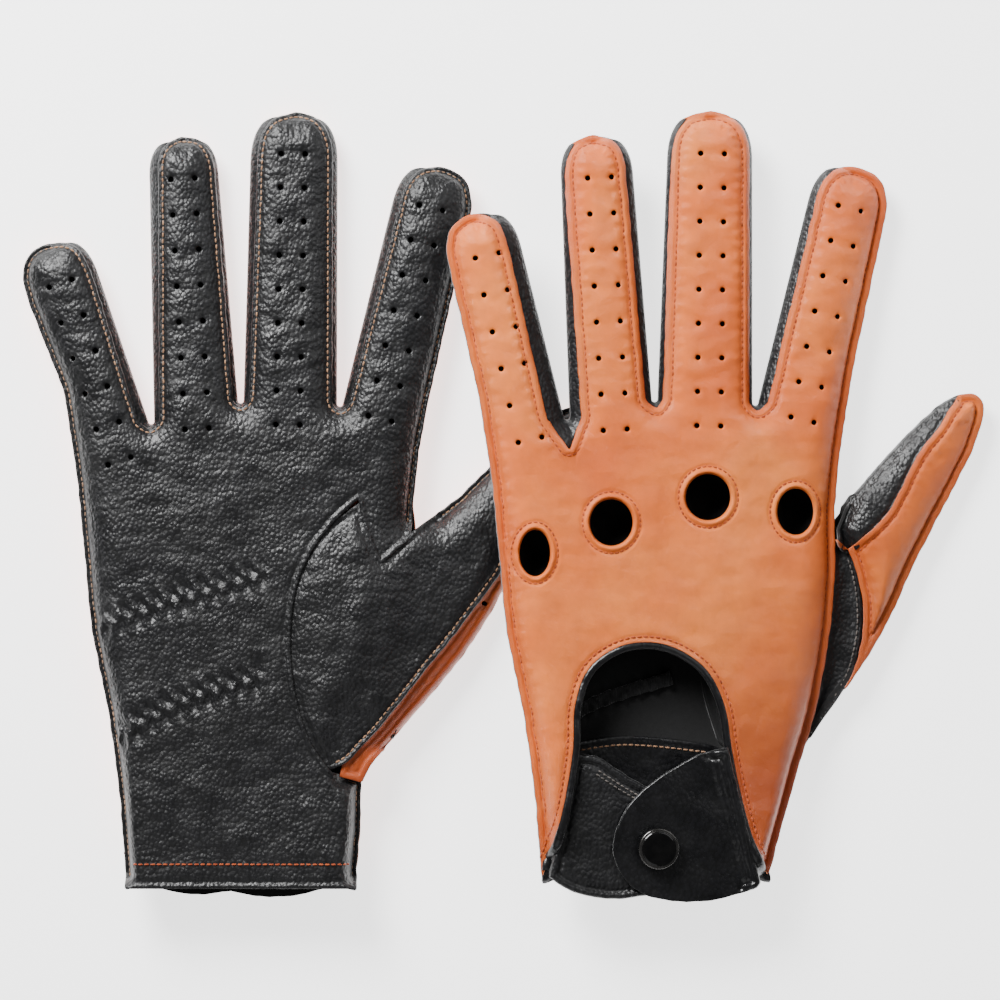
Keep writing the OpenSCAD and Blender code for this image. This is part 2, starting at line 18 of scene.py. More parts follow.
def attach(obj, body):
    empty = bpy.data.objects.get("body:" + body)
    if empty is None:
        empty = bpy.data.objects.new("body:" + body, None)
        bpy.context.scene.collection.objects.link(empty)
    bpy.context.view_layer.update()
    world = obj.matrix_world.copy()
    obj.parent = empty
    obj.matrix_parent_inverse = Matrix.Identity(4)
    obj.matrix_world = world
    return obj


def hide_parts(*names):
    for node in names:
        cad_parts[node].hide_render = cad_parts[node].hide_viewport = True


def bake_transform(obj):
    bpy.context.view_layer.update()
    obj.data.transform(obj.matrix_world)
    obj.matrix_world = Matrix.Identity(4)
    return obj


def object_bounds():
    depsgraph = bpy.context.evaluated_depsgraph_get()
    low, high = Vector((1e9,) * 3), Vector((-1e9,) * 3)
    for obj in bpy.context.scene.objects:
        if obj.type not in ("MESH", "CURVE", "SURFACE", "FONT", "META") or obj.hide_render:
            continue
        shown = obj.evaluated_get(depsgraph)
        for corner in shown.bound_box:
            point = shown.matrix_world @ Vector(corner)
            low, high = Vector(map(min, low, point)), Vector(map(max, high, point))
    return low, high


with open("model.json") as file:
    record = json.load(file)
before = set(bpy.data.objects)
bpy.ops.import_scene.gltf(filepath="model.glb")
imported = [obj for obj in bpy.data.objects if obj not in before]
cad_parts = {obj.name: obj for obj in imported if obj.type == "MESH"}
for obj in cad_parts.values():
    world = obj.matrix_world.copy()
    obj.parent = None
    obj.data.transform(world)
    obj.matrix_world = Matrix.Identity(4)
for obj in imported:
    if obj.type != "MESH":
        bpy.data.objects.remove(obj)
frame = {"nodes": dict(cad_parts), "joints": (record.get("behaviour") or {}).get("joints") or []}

CAD_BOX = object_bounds()
MM = 0.001
SIDES = ("left", "right")

# Design of the gloves

# Fingertips, pinky to index: top of the tip, half width, lean in degrees towards the thumb
FINGERS = (
    (((-58.6, 89.3), 11.6, -13), ((-21.6, 113.8), 11.3, -3.4), ((14.6, 121.5), 13.4, 1),
     ((60.3, 104.6), 12.4, 13)),
    (((-62.7, 80.6), 11.6, -18.5), ((-21.5, 113.8), 10.8, -3.4), ((13.7, 121.5), 13.6, 1),
     ((59.3, 104.4), 12.3, 13.5)),
)
CROTCHES = (((-30.4, 26), (-3, 31.5), (28.5, 30.5)), ((-30.8, 24.5), (-3, 31), (27.8, 30)))
OUTER_EDGE = ((-38.5, -113), (-40.5, -89), (-44, -64), (-49, -39), (-51.5, -14), (-54, 10), (-58, 35))
INDEX_EDGE = (((59.5, 44), (55.5, 20), (53.2, -1)), ((58, 44), (53, 20), (50.5, -1)))
BACK_EDGE = (
    ((53.4, -20), (51.6, -40), (47, -64), (41.5, -82), (38.4, -93), (35.5, -103), (32.6, -113.5)),
    ((52.5, -20), (51, -40), (45, -64), (37.5, -81), (34.6, -86), (34.2, -101), (33, -113.5)),
)
LEG_ENDS = ((32.2, -114.5), (-38.3, -114.5))
ARCH = ((29, -111), (25, -102), (21.5, -88), (19, -75), (16.8, -62), (11.5, -51.5), (3, -45.3), (-6, -43),
        (-15.5, -44.5), (-24.3, -51), (-28.4, -62), (-29, -75), (-31.4, -90), (-34.5, -103), (-37, -110))
HEM_Y = (-116.5, -119)
HEM_X = (33.5, -38)
THUMB_SEAM = ((25.5, -83), (18.8, -73), (14.3, -58), (13, -42), (14.8, -26.5), (20, -14.5), (27, -5.5))
THUMB_NOTCH = ((33.8, 1), (35.5, -8), (39.5, -20.5))
THUMB_CROTCH = ((52.4, -9), (50, -11))
THUMB_UP = ((60, 3.5), (71, 16), (82, 27))
THUMB_TIP = ((90.5, 33.3), (97.5, 34), (100, 29))
THUMB_DOWN = ((96.4, 16.7), (90, 4), (83.4, -8.5), (77.2, -21), (71.9, -33), (65, -45.5), (56.4, -58),
              (46, -72))
GUSSET_FAR = ((55, -8), (57.6, -14), (61.3, -25), (62.3, -38), (60, -50), (55.8, -58.3), (50, -65.5),
              (45.2, -72))
THUMB_TURN = (0, -4.5)
THUMB_ROOT = (45, -60)
# The seam of the thumb that shows inside its silhouette, on the back of the left glove, front of the right
THUMB_WRAP = (
    ((53.4, -11), (57, -14.3), (63.9, -8), (69.4, -2), (72.9, 4.3), (76, 10.5), (79.4, 16.7), (84.6, 23),
     (88.4, 29), (92, 33.7)),
    ((98.2, 12), (92.5, 3), (84, -9), (77.8, -21.5), (71.2, -30.6), (62.4, -42.2), (52.4, -54.4), (41, -68.8),
     (30, -80.5)),
)
KNUCKLES = (((-41, -15), 4.6), ((-17.5, -5.7), 6.6), ((12.6, 2.1), 6.9), ((40, -2.4), 5.7))
KNUCKLE_R = 7.1
FACING_W = 3.2
ELASTICS = (((-45, -37.5), (-22, -30), (-8, -25.8), (4, -22)),
            ((-40, -72), (-30, -66.3), (-18, -60.4), (3, -54)))
SNAP = (-3.4, -105.6)
OVER_FOLD = ((15.4, -75.5), (26.3, -116))
UNDER_FOLD = ((-26.2, -76), (-34, -114.5))
OVER_EDGE = ((23.5, -119.6), (12.6, -122), (1.6, -122), (-6.2, -120.3), (-11.7, -117), (-15.6, -111.5),
             (-17, -105.5), (-15.6, -99), (-12.3, -92.8), (-6.2, -86.7), (1.5, -81.5), (9.9, -77))
UNDER_EDGE = ((-20.6, -78), (-13.9, -82.5), (-7.9, -86.1), (-1, -90), (4, -95), (6, -103), (4, -112),
              (-1, -118.5), (-10.6, -121), (-18, -121.3), (-26.1, -120), (-32, -117.8))
# Heights over the palm
TIP_HEIGHT, WRIST_HEIGHT = 12, 17
FOLD_Z, OVER_TOP, OVER_BOTTOM, UNDER_TOP = 17.9, 17.3, 15.7, 13.3
CAP_R, CAP_H = 6.4, 2.4
LEATHER = 1.0
TAB = 0.8
UP = (0, 0, 1)

# How far the back and palm panels stop short of the silhouette in the gap after each finger:
# at the fingertip, at the root, in the crotch, and at the root and tip of the next finger
BACK_INSET = (((4.6, 6, 9.5, 3, 0.8), (2.8, 2.6, 2.2, 1.2, 0.8), (1.4, 1.6, 1.8, 2.2, 1.8)),
              ((1.4,) * 5,) * 3)
PALM_INSET = (((1.2,) * 5,) * 3, ((1.6, 2.6, 1.6, 1.8, 3), (0.8, 1.2, 1.4, 1.8, 2.5),
                                  (1.3, 1.3, 1.4, 1.8, 2.4)))
# Perforations: fingers from pinky to index, rows on each and the pitch of the rows
PERFORATIONS = ((6, 11.6), (8, 11.1), (9, 10.5), (7, 11.2))
FIRST_ROW = 13.5
COLUMN = 3.7
DOT_R = 0.85

FLANGE = {"tan": 2.5, "black": 1.5}
ROUND = 10.5
TIP_POWER = 2.7
STITCH = 1.9
# Spacing of a sheet's mesh: its fill, and its rings inside its edge and round an oval hole
FILL = 1.3
EDGE_RINGS = (0.35, 0.8, 1.3, 1.8, 2.4, 3.0, 3.8, 4.7)
OVAL_RINGS = (0.3, 0.65, 1.1, 1.6, 2.1, 2.6, 3.1, 3.7)

# Small maths


def smooth(points, steps=8):
    """Catmull-Rom curve through points."""
    p = np.array(points, float)
    p = np.vstack([p[:1], p, p[-1:]])
    t = np.linspace(0, 1, steps, endpoint=False)[:, None]
    out = []
    for a, b, c, d in zip(p[:-3], p[1:-2], p[2:-1], p[3:]):
        out.append(0.5 * (2 * b + (c - a) * t + (2 * a - 5 * b + 4 * c - d) * t**2
                          + (3 * b - a - 3 * c + d) * t**3))
    return np.vstack(out + [p[-1:]])


def resample(p, step, closed=False):
    """The same line with points an even step apart. Columns after x and y are carried along."""
    q = np.vstack([p, p[:1]]) if closed else np.array(p, float)
    along = np.r_[0, np.cumsum(norm(np.diff(q[:, :3 if q.shape[1] == 3 else 2], axis=0), axis=1))]
    n = max(int(round(along[-1] / step)), 2)
    t = np.linspace(0, along[-1], n + 1)
    r = np.stack([np.interp(t, along, q[:, k]) for k in range(q.shape[1])], 1)
    return r[:-1] if closed else r


def turn(p, degrees, centre=(0, 0)):
    a = math.radians(degrees)
    d = np.asarray(p, float) - centre
    return np.stack([d[..., 0] * math.cos(a) - d[..., 1] * math.sin(a),
                     d[..., 0] * math.sin(a) + d[..., 1] * math.cos(a)], -1) + centre


def inward(p, closed=True):
    """Unit normals to the right of a clockwise loop, which point into it."""
    if closed:
        d = np.roll(p[:, :2], -1, 0) - np.roll(p[:, :2], 1, 0)
    else:
        d = np.gradient(p[:, :2], axis=0)
    n = np.stack([d[:, 1], -d[:, 0]], 1)
    return n / np.maximum(norm(n, axis=1), 1e-9)[:, None]


def nearest(q, p, use=None):
    """Distance from points q to the closed line p, with the segment's number and the place along it."""
    a = p[:, :2]
    d = np.roll(a, -1, 0) - a
    ids = np.arange(len(a)) if use is None else np.flatnonzero(use)
    a, d = a[ids], d[ids]
    length = np.maximum((d * d).sum(1), 1e-12)
    best, index, place = [], [], []
    for k in range(0, len(q), 1500):
        v = q[k:k + 1500, None, :2] - a[None]
        t = np.clip((v * d).sum(2) / length, 0, 1)
        r = ((v - t[..., None] * d) ** 2).sum(2)
        j = r.argmin(1)
        rows = np.arange(len(j))
        best.append(np.sqrt(r[rows, j]))
        index.append(ids[j])
        place.append(t[rows, j])
    return np.concatenate(best), np.concatenate(index), np.concatenate(place)


def noise(q, scale, seed=0):
    """Smooth noise over the plane, about -1 to 1. scale is a length, or one for each axis."""
    p = q[:, :2] / np.asarray(scale, float) + 31.7 * seed
    i = np.floor(p)
    f = p - i
    u = f * f * f * (f * (f * 6 - 15) + 10)

    def corner(dx, dy):
        h = np.sin((i[:, 0] + dx) * 127.1 + (i[:, 1] + dy) * 311.7 + seed * 74.7) * 43758.5453
        a = 2 * np.pi * (h - np.floor(h))
        return np.cos(a) * (f[:, 0] - dx) + np.sin(a) * (f[:, 1] - dy)

    low = corner(0, 0) * (1 - u[:, 0]) + corner(1, 0) * u[:, 0]
    top = corner(0, 1) * (1 - u[:, 0]) + corner(1, 1) * u[:, 0]
    return 1.5 * (low * (1 - u[:, 1]) + top * u[:, 1])


def wall(u):
    """Profile of a stuffed finger's side: 0 at its edge, 1 on its flat."""
    return (1 - (1 - np.clip(u, 0, 1)) ** 2) ** 0.6


def circle(n):
    return np.linspace(0, 2 * np.pi, n, endpoint=False)


def radius(q, x, y):
    return np.hypot(q[:, 0] - x, q[:, 1] - y)


def hill(x, width):
    return np.exp(-(x / width) ** 2)


# Where each glove lies


def glove_frame(g):
    """Origin and axes of a glove's frame, found from its two tabs' hinges in the record."""
    found = {}
    for j in frame["joints"]:
        if j["name"].startswith(SIDES[g]) and j["name"].endswith("tab_hinge"):
            found["over" if "over" in j["name"] else "under"] = j
    handed = 1 if g == 0 else -1
    directions = np.array([found["over"]["axis"], found["under"]["axis"]]).T * handed
    over = np.subtract(OVER_FOLD[0], OVER_FOLD[1])
    under = np.subtract(UNDER_FOLD[1], UNDER_FOLD[0])
    flat = np.array([over / norm(over), under / norm(under)]).T
    axes = directions @ np.linalg.inv(flat)
    x, y = (axes[:, k] / norm(axes[:, k]) for k in (0, 1))
    z = np.cross(x, y) * handed
    middle = np.r_[np.mean(OVER_FOLD, axis=0), FOLD_Z] * MM
    m = np.array([x, y, z]).T
    return m, np.array(found["over"]["pos_m"]) - m @ middle


PLACE = [glove_frame(g) for g in (0, 1)]


def to_world(g, p):
    m, origin = PLACE[g]
    return p * MM @ m.T + origin


def table_z(p):
    """Height over the right glove's palm of the table that the glove lies on."""
    m, origin = PLACE[1]
    return (-origin[2] / MM - m[2, 0] * p[:, 0] - m[2, 1] * p[:, 1]) / m[2, 2]


def back_z(p):
    return TIP_HEIGHT + (WRIST_HEIGHT - TIP_HEIGHT) * (121.5 - p[:, 1]) / 240


def lean_z(g, p):
    """Height over a glove's palm of the other thing that its thumb touches: the table, or the left glove."""
    m, origin = PLACE[0]
    if g == 0:
        return (-origin[2] / MM - m[2, 0] * p[:, 0]) / m[2, 2]
    world = to_world(1, np.c_[p[:, :2], np.zeros(len(p))])
    x = (world[:, 0] - origin[0]) / MM / m[0, 0]
    top = origin[2] / MM + m[2, 0] * x
    return (top - 0.3 - world[:, 2] / MM) / PLACE[1][0][2, 2]


def levels(g, part, p):
    """Lowest and highest surface of the hand or thumb at points p."""
    if part == "hand":
        return np.zeros(len(p)), back_z(p)
    if g == 0:
        low = np.maximum(0, lean_z(0, p))
        return low, low + 14.5 - 0.075 * (p[:, 0] - 45)
    table = table_z(p)
    low = np.maximum(0, lean_z(1, p))
    return low, np.minimum(table, back_z(p) + 0.08 * (p[:, 0] - 45))


# Outlines. Columns: x, y, inset from the silhouette, 1 where the edge is cut and not sewn


def marked(points, inset=0.0, cut=0.0):
    p = np.array(points, float)[:, :2]
    return np.c_[p, np.full(len(p), inset), np.full(len(p), cut)]


def fingertip(g, f, left, right):
    """A fingertip from the pinky side to the thumb side, with its two sides' insets."""
    (x, y), r, lean = FINGERS[g][f]
    t = np.radians(np.linspace(180, 0, 37))
    c, s = np.cos(t), np.sin(t)
    shape = np.stack([r * np.sign(c) * np.abs(c) ** (2 / TIP_POWER), 1.3 * r * (s ** (2 / TIP_POWER) - 1)], 1)
    inset = np.abs(c) ** 0.7 * np.where(c < 0, left, right)
    return np.c_[turn(shape, -lean) + (x, y), inset, np.zeros(len(t))]


def gap(g, f, a, b, inset):
    """The side of finger f below its tip a, the crotch, and the side of the next finger up to its tip b."""
    x, y = CROTCHES[g][f]
    t = np.radians(np.linspace(180, 360, 13))
    u = np.stack([x + 0.9 * np.cos(t), y + 0.9 + 0.9 * np.sin(t)], 1)
    side = np.where(np.cos(t) < 0, inset[1], inset[3])
    u = np.c_[u, 1 / (np.abs(np.cos(t)) / side + np.abs(np.sin(t)) / inset[2]), np.zeros(13)]
    k = np.linspace(0, 1, 42)[1:-1, None]
    down = a + (u[0] - a) * k
    up = u[-1] + (b - u[-1]) * k
    return np.vstack([down, u, up])


def tips(g, insets):
    return [fingertip(g, f, insets[f - 1][4] if f else 0, insets[f][0] if f < 3 else 0) for f in range(4)]


def hand_edge(g, insets):
    tip = tips(g, insets)
    run = [marked(smooth(OUTER_EDGE)), tip[0]]
    for f in range(3):
        run += [gap(g, f, tip[f][-1], tip[f + 1][0], insets[f]), tip[f + 1]]
    return np.vstack(run + [marked(smooth(INDEX_EDGE[g]))])


def back_outline(g):
    return np.vstack([hand_edge(g, BACK_INSET[g]), marked(smooth(BACK_EDGE[g])), marked(LEG_ENDS[:1], cut=1),
                      marked(smooth(ARCH), cut=1), marked(LEG_ENDS[1:], cut=1)])


def palm_outline(g):
    y = HEM_Y[g]
    seam = np.vstack([np.array([THUMB_CROTCH[g]]), smooth(THUMB_NOTCH[::-1], 4), smooth(THUMB_SEAM[::-1])])
    hem = [(HEM_X[0], y), (HEM_X[1], y)]
    return np.vstack([hand_edge(g, PALM_INSET[g]), marked(seam, cut=1), marked(BACK_EDGE[g][4:]),
                      marked(hem, cut=1)])


def thumb_side(g):
    return turn(smooth(THUMB_UP + THUMB_TIP + THUMB_DOWN), THUMB_TURN[g], THUMB_ROOT)


def wrap_line(g):
    return smooth(THUMB_WRAP[g])


def clockwise(p):
    x, y = p[:, 0], p[:, 1]
    return (x * np.roll(y, -1) - np.roll(x, -1) * y).sum() < 0


def shifted(p):
    """The outline moved in by its own insets."""
    q = p.copy()
    q[:, :2] += inward(p) * p[:, 2:3]
    return q


def inside(q, p):
    """Which points q lie inside the closed line p."""
    x, y = q[:, 0], q[:, 1]
    found = np.zeros(len(q), bool)
    for a, b in zip(p, np.roll(p, -1, 0)):
        if a[1] != b[1]:
            hit = (a[1] > y) != (b[1] > y)
            found ^= hit & (x < (b[0] - a[0]) * (y - a[1]) / (b[1] - a[1]) + a[0])
    return found


# Sheets of leather


class Sheet:
    """A cut of leather that lies on the body of a hand or thumb.

    silhouette is the line where the body's two halves meet, and edge is this piece's own edge. side is
    1 for the back and -1 for the palm side.
    """

    def __init__(self, g, part, side, silhouette, edge, hide, ovals=(), dots=(), puff=None, sink=0.0,
                 tuck=0.0):
        self.g, self.part, self.side, self.hide = g, part, side, hide
        self.body = resample(silhouette if clockwise(silhouette) else silhouette[::-1], 1.6, True)
        self.edge = resample(edge if clockwise(edge) else edge[::-1], 1.1, True)
        self.ovals, self.puff = ovals, puff
        self.flange = FLANGE[hide]
        self.sink, self.tuck = sink, tuck
        wobble = 0.22 * noise(self.edge, 3.5, 7) * (self.edge[:, 3] < 0.5)
        self.edge[:, :2] += inward(self.edge) * wobble[:, None]
        self.sewn = self.edge[:, 3] < 0.5
        inner = inside(np.array(dots, float).reshape(-1, 2), self.edge) if len(dots) else []
        self.dots = [d for d, ok in zip(dots, inner) if ok]
        self.dots = [d for d in self.dots if nearest(np.array([d], float), self.edge)[0][0] > 3]

    def around(self, q):
        """Width of the rounded side: narrower at the wrist."""
        return np.interp(q[:, 1], [-95, -45], [3.6, ROUND])

    def full(self, q):
        """Height of the stuffed body at q, from 0 at its silhouette to 1 on its flat."""
        use = (self.body[:, 3] < 0.5) & (np.roll(self.body[:, 3], -1) < 0.5)
        d, i, t = nearest(q, self.body, use)
        inset = self.body[i, 2] * (1 - t) + self.body[(i + 1) % len(self.body), 2] * t
        fold = np.clip(inset / 1.2, 0, 1)
        flange = self.flange * (1 - fold)
        skin = LEATHER * (1 - fold * (1 - wall(d / 1.5)))
        return wall((d - flange) / self.around(q)), skin

    def oval_gap(self, q, o):
        """Distance outside an oval hole."""
        (x, y), rx, ry = o
        k = np.hypot((q[:, 0] - x) / rx, (q[:, 1] - y) / ry)
        r = radius(q, x, y)
        return np.where(k > 1e-6, (k - 1) / np.maximum(k, 1e-6) * r, -rx)

    def height(self, q):
        """Height over the palm of the outside of the leather at points q."""
        low, high = levels(self.g, self.part, q)
        half, middle = (high - low) / 2, (high + low) / 2
        full, skin = self.full(q)
        z = skin + np.maximum(half - skin, 0) * full - self.sink
        sewn, i, t = nearest(q, self.edge, self.sewn & np.roll(self.sewn, -1))
        cut, _, _ = nearest(q, self.edge)
        cut = np.where(cut < sewn - 0.05, cut, 99)
        place = i + t
        f = self.flange
        ripple = np.sin(place * 1.1 * 2 * np.pi / 3.8 + 2.4 * noise(q, 9, 3))
        tan = self.hide == "tan"
        z += 0.28 * hill(sewn - f * 0.45, f * 0.4) - (0.62 if tan else 0.5) * hill(sewn - f, 0.5)
        z += (0.2 if tan else 0.1) * ripple * hill(sewn - f - 1.5, 1.7)
        z += 0.3 * hill(cut - 0.8, 0.7) - 0.35 * hill(cut - 2.1, 0.45) - self.tuck * hill(cut, 2.6)
        calm = np.clip((sewn - f) / 4, 0, 1)
        z += calm * (0.6 * noise(q, 26, 1) + 0.28 * noise(q, (11, 8), 2))
        finger = np.clip((q[:, 1] - 20) / 25, 0, 1) if self.part == "hand" else np.full(len(q), 0.4)
        z += calm * (0.12 + 0.14 * finger) * noise(q, (9, 3.0), 4)
        z += calm * 0.12 * noise(q, (3.2, 4.5), 5)
        for o in self.ovals:
            e = self.oval_gap(q, o)
            z += 0.55 * hill(e - 0.9, 0.75) - 0.9 * hill(e, 0.45) - 0.4 * hill(e - 2.4, 0.5)
        for x, y in self.dots:
            z -= 0.3 * hill(radius(q, x, y) - DOT_R, 0.5)
        if self.puff:
            z += self.puff(q)
        z = middle + self.side * z
        if self.side < 0 and self.g == 0:
            z = np.maximum(z, low)
        if self.side > 0 and self.g == 1:
            z = np.minimum(z, high)
        return z

    def points(self):
        """Points of the sheet: its edge, rings inside it, rings round its holes, and an even fill."""
        e, n = self.edge, inward(self.edge)
        inner = []
        for r in EDGE_RINGS:
            q = e[:, :2] + n * r
            q = q[inside(q, e)]
            d, _, _ = nearest(q, e)
            inner.append(q[d > r - 0.06])
        lo, hi = e[:, :2].min(0), e[:, :2].max(0)
        x = np.arange(lo[0], hi[0], FILL)
        y = np.arange(lo[1], hi[1], FILL * 0.866)
        gx, gy = np.meshgrid(x, y)
        gx = gx + (np.arange(len(y)) % 2)[:, None] * FILL / 2
        q = np.c_[gx.ravel(), gy.ravel()]
        q = q[inside(q, e)]
        d, _, _ = nearest(q, e)
        inner.append(q[d > EDGE_RINGS[-1] + 0.6])
        q = np.vstack(inner)
        loops = []
        for o in self.ovals:
            q = q[self.oval_gap(q, o) > 4.2]
            (x, y), rx, ry = o
            a = circle(56)
            loops.append(np.c_[x + rx * np.cos(a), y + ry * np.sin(a)])
            for r in OVAL_RINGS:
                q = np.vstack([q, np.c_[x + (rx + r) * np.cos(a), y + (ry + r) * np.sin(a)]])
        for x, y in self.dots:
            q = q[radius(q, x, y) > DOT_R + 1.0]
            a = circle(8)
            loops.append(np.c_[x + DOT_R * np.cos(a), y + DOT_R * np.sin(a)])
            q = np.vstack([q, np.c_[x + (DOT_R + 0.5) * np.cos(a), y + (DOT_R + 0.5) * np.sin(a)]])
        return q, loops

    def flat_mesh(self):
        """The sheet as points in the plane and triangles, with its holes open."""
        q, loops = self.points()
        verts = [self.edge[:, :2]] + loops
        edges, start = [], 0
        for loop in verts:
            n = len(loop)
            edges += [(start + k, start + (k + 1) % n) for k in range(n)]
            start += n
        every = np.vstack(verts + [q])
        out = delaunay_2d_cdt([Vector(p) for p in every], edges, [], 0, 1e-4)
        p = np.array([tuple(v) for v in out[0]])
        f = np.array([t for t in out[2] if len(t) == 3])
        c = p[f].mean(1)
        keep = inside(c, self.edge)
        for o in self.ovals:
            keep &= self.oval_gap(c, o) > -0.004
        for x, y in self.dots:
            keep &= radius(c, x, y) > DOT_R * 0.95
        f = f[keep]
        used = np.unique(f)
        index = np.full(len(p), -1)
        index[used] = np.arange(len(used))
        p, f = p[used], index[f]
        a, b, c = (p[f[:, k]] for k in range(3))
        area = (b[:, 0] - a[:, 0]) * (c[:, 1] - a[:, 1]) - (b[:, 1] - a[:, 1]) * (c[:, 0] - a[:, 0])
        f[area < 0] = f[area < 0][:, ::-1]
        return p, f[np.abs(area) > 1e-9]

    def thick(self, name, thickness=LEATHER, materials=None):
        p, f = self.flat_mesh()
        top = np.c_[p, self.height(p)]
        if self.side < 0:
            f = f[:, ::-1]
        n = point_normals(top, f)
        sewn, _, _ = nearest(p, self.edge)
        # Painted shade: a darkening that grows towards the thumb side and the wrist, where the light falls
        # off, carried to the tan material.
        painted_shade = np.clip((0.8 * p[:, 0] - p[:, 1] - 45) / 60, 0, 1)
        return solid(self.g, name, top, top - n * thickness, f, materials, {"seam": sewn, "painted_shade": painted_shade})


def point_normals(p, f):
    a, b, c = (p[f[:, k]] for k in range(3))
    n = np.cross(b - a, c - a)
    out = np.zeros_like(p)
    for k in range(3):
        np.add.at(out, f[:, k], n)
    return out / np.maximum(norm(out, axis=1), 1e-12)[:, None]


def border(f):
    """Directed edges that belong to one triangle only."""
    e = np.vstack([f[:, [0, 1]], f[:, [1, 2]], f[:, [2, 0]]])
    key = e[:, 0].astype(np.int64) * (f.max() + 1) + e[:, 1]
    back = e[:, 1].astype(np.int64) * (f.max() + 1) + e[:, 0]
    return e[~np.isin(key, back)]


def solid(g, name, outer, inner, f, materials, fields=None):
    """A closed sheet from two matching layers. Materials: outside, inside, cut edge."""
    n = len(outer)
    e = border(f)
    walls = np.vstack([np.c_[e[:, 1], e[:, 0], e[:, 0] + n], np.c_[e[:, 1], e[:, 0] + n, e[:, 1] + n]])
    faces = np.vstack([f, f[:, ::-1] + n, walls])
    kinds = np.r_[np.zeros(len(f), int), np.ones(len(f), int), np.full(len(walls), 2)]
    fields = {k: np.r_[v, v] for k, v in (fields or {}).items()}
    return make(g, name, np.vstack([outer, inner]), faces, materials, kinds, fields)


def make(g, name, points, faces, materials, kinds=None, fields=None):
    """A mesh object from points in a glove's own frame."""
    faces = np.asarray(faces)
    if g == 1:
        faces = faces[:, ::-1]
    mesh = bpy.data.meshes.new(name)
    world = to_world(g, np.asarray(points, float))
    mesh.vertices.add(len(world))
    mesh.vertices.foreach_set("co", world.astype(np.float32).ravel())
    width = faces.shape[1]
    mesh.loops.add(faces.size)
    mesh.loops.foreach_set("vertex_index", faces.astype(np.int32).ravel())
    mesh.polygons.add(len(faces))
    mesh.polygons.foreach_set("loop_start", np.arange(0, faces.size, width, dtype=np.int32))
    mesh.polygons.foreach_set("loop_total", np.full(len(faces), width, np.int32))
    mesh.update(calc_edges=True)
    mesh.validate()
    for material in materials:
        mesh.materials.append(MATERIALS[material])
    if kinds is not None:
        mesh.polygons.foreach_set("material_index", np.minimum(kinds, len(materials) - 1).astype(np.int32))
    mesh.polygons.foreach_set("use_smooth", np.ones(len(mesh.polygons), bool))
    for key, values in (fields or {}).items():
        attribute = mesh.attributes.new(key, "FLOAT", "POINT")
        attribute.data.foreach_set("value", np.asarray(values, np.float32))
    obj = bpy.data.objects.new(name, mesh)
    bpy.context.scene.collection.objects.link(obj)
    return obj


def grid_faces(rows, columns, start=0, closed=False):
    r, c = np.meshgrid(np.arange(rows - 1), np.arange(columns if closed else columns - 1), indexing="ij")
    r, c = r.ravel(), c.ravel()
    d = (c + 1) % columns
    a, b = start + r * columns + c, start + r * columns + d
    return np.vstack([np.c_[a, b, b + columns], np.c_[a, b + columns, a + columns]])


def strip(g, name, rows, outward, thickness, materials):
    """A sheet through rows of points, with its outside roughly towards outward."""
    rows = np.asarray(rows, float)
    p = rows.reshape(-1, 3)
    f = grid_faces(*rows.shape[:2])
    n = point_normals(p, f)
    if (n * np.broadcast_to(outward, rows.shape).reshape(-1, 3)).sum() < 0:
        f, n = f[:, ::-1], -n
    return solid(g, name, p, p - n * thickness, f, materials)


def tube(path, up, half_width, half_height, sides=12, squareness=1.0):
    """Points and triangles of a closed tube with an oval section along a line."""
    t = np.gradient(path, axis=0)
    t /= norm(t, axis=1)[:, None]
    u = np.asarray(up, float) * np.ones_like(path)
    u = u - t * (u * t).sum(1)[:, None]
    u /= norm(u, axis=1)[:, None]
    s = np.cross(t, u)
    a = circle(sides)
    c, h = np.cos(a), np.sin(a)
    c, h = np.sign(c) * np.abs(c) ** squareness, np.sign(h) * np.abs(h) ** squareness
    w = (half_width * np.ones(len(path)))[:, None, None]
    v = (half_height * np.ones(len(path)))[:, None, None]
    p = path[:, None] + s[:, None] * w * c[None, :, None] + u[:, None] * v * h[None, :, None]
    n = len(path)
    f = grid_faces(n, sides, closed=True)
    caps = [[0, k + 1, k] for k in range(1, sides - 1)]
    caps += [[(n - 1) * sides, (n - 1) * sides + k, (n - 1) * sides + k + 1] for k in range(1, sides - 1)]
    f = np.vstack([f, caps])
    q = p.reshape(-1, 3)
    a, b, c = (q[f[:, k]] for k in range(3))
    if (np.cross(a, b) * c).sum() < 0:
        f = f[:, ::-1]
    return q, f


def joined(parts):
    """Several (points, faces) pairs as one."""
    points, faces, start = [], [], 0
    for p, f in parts:
        points.append(p)
        faces.append(np.asarray(f) + start)
        start += len(p)
    return np.vstack(points), np.vstack(faces)


# Stitches

# Rings of one thread: place along it, radius, and lift
STITCH_RINGS = ((-0.62, 0.1, -0.22), (-0.5, 0.2, -0.06), (-0.2, 0.25, 0.08),
                (0.2, 0.25, 0.08), (0.5, 0.2, -0.06), (0.62, 0.1, -0.22))


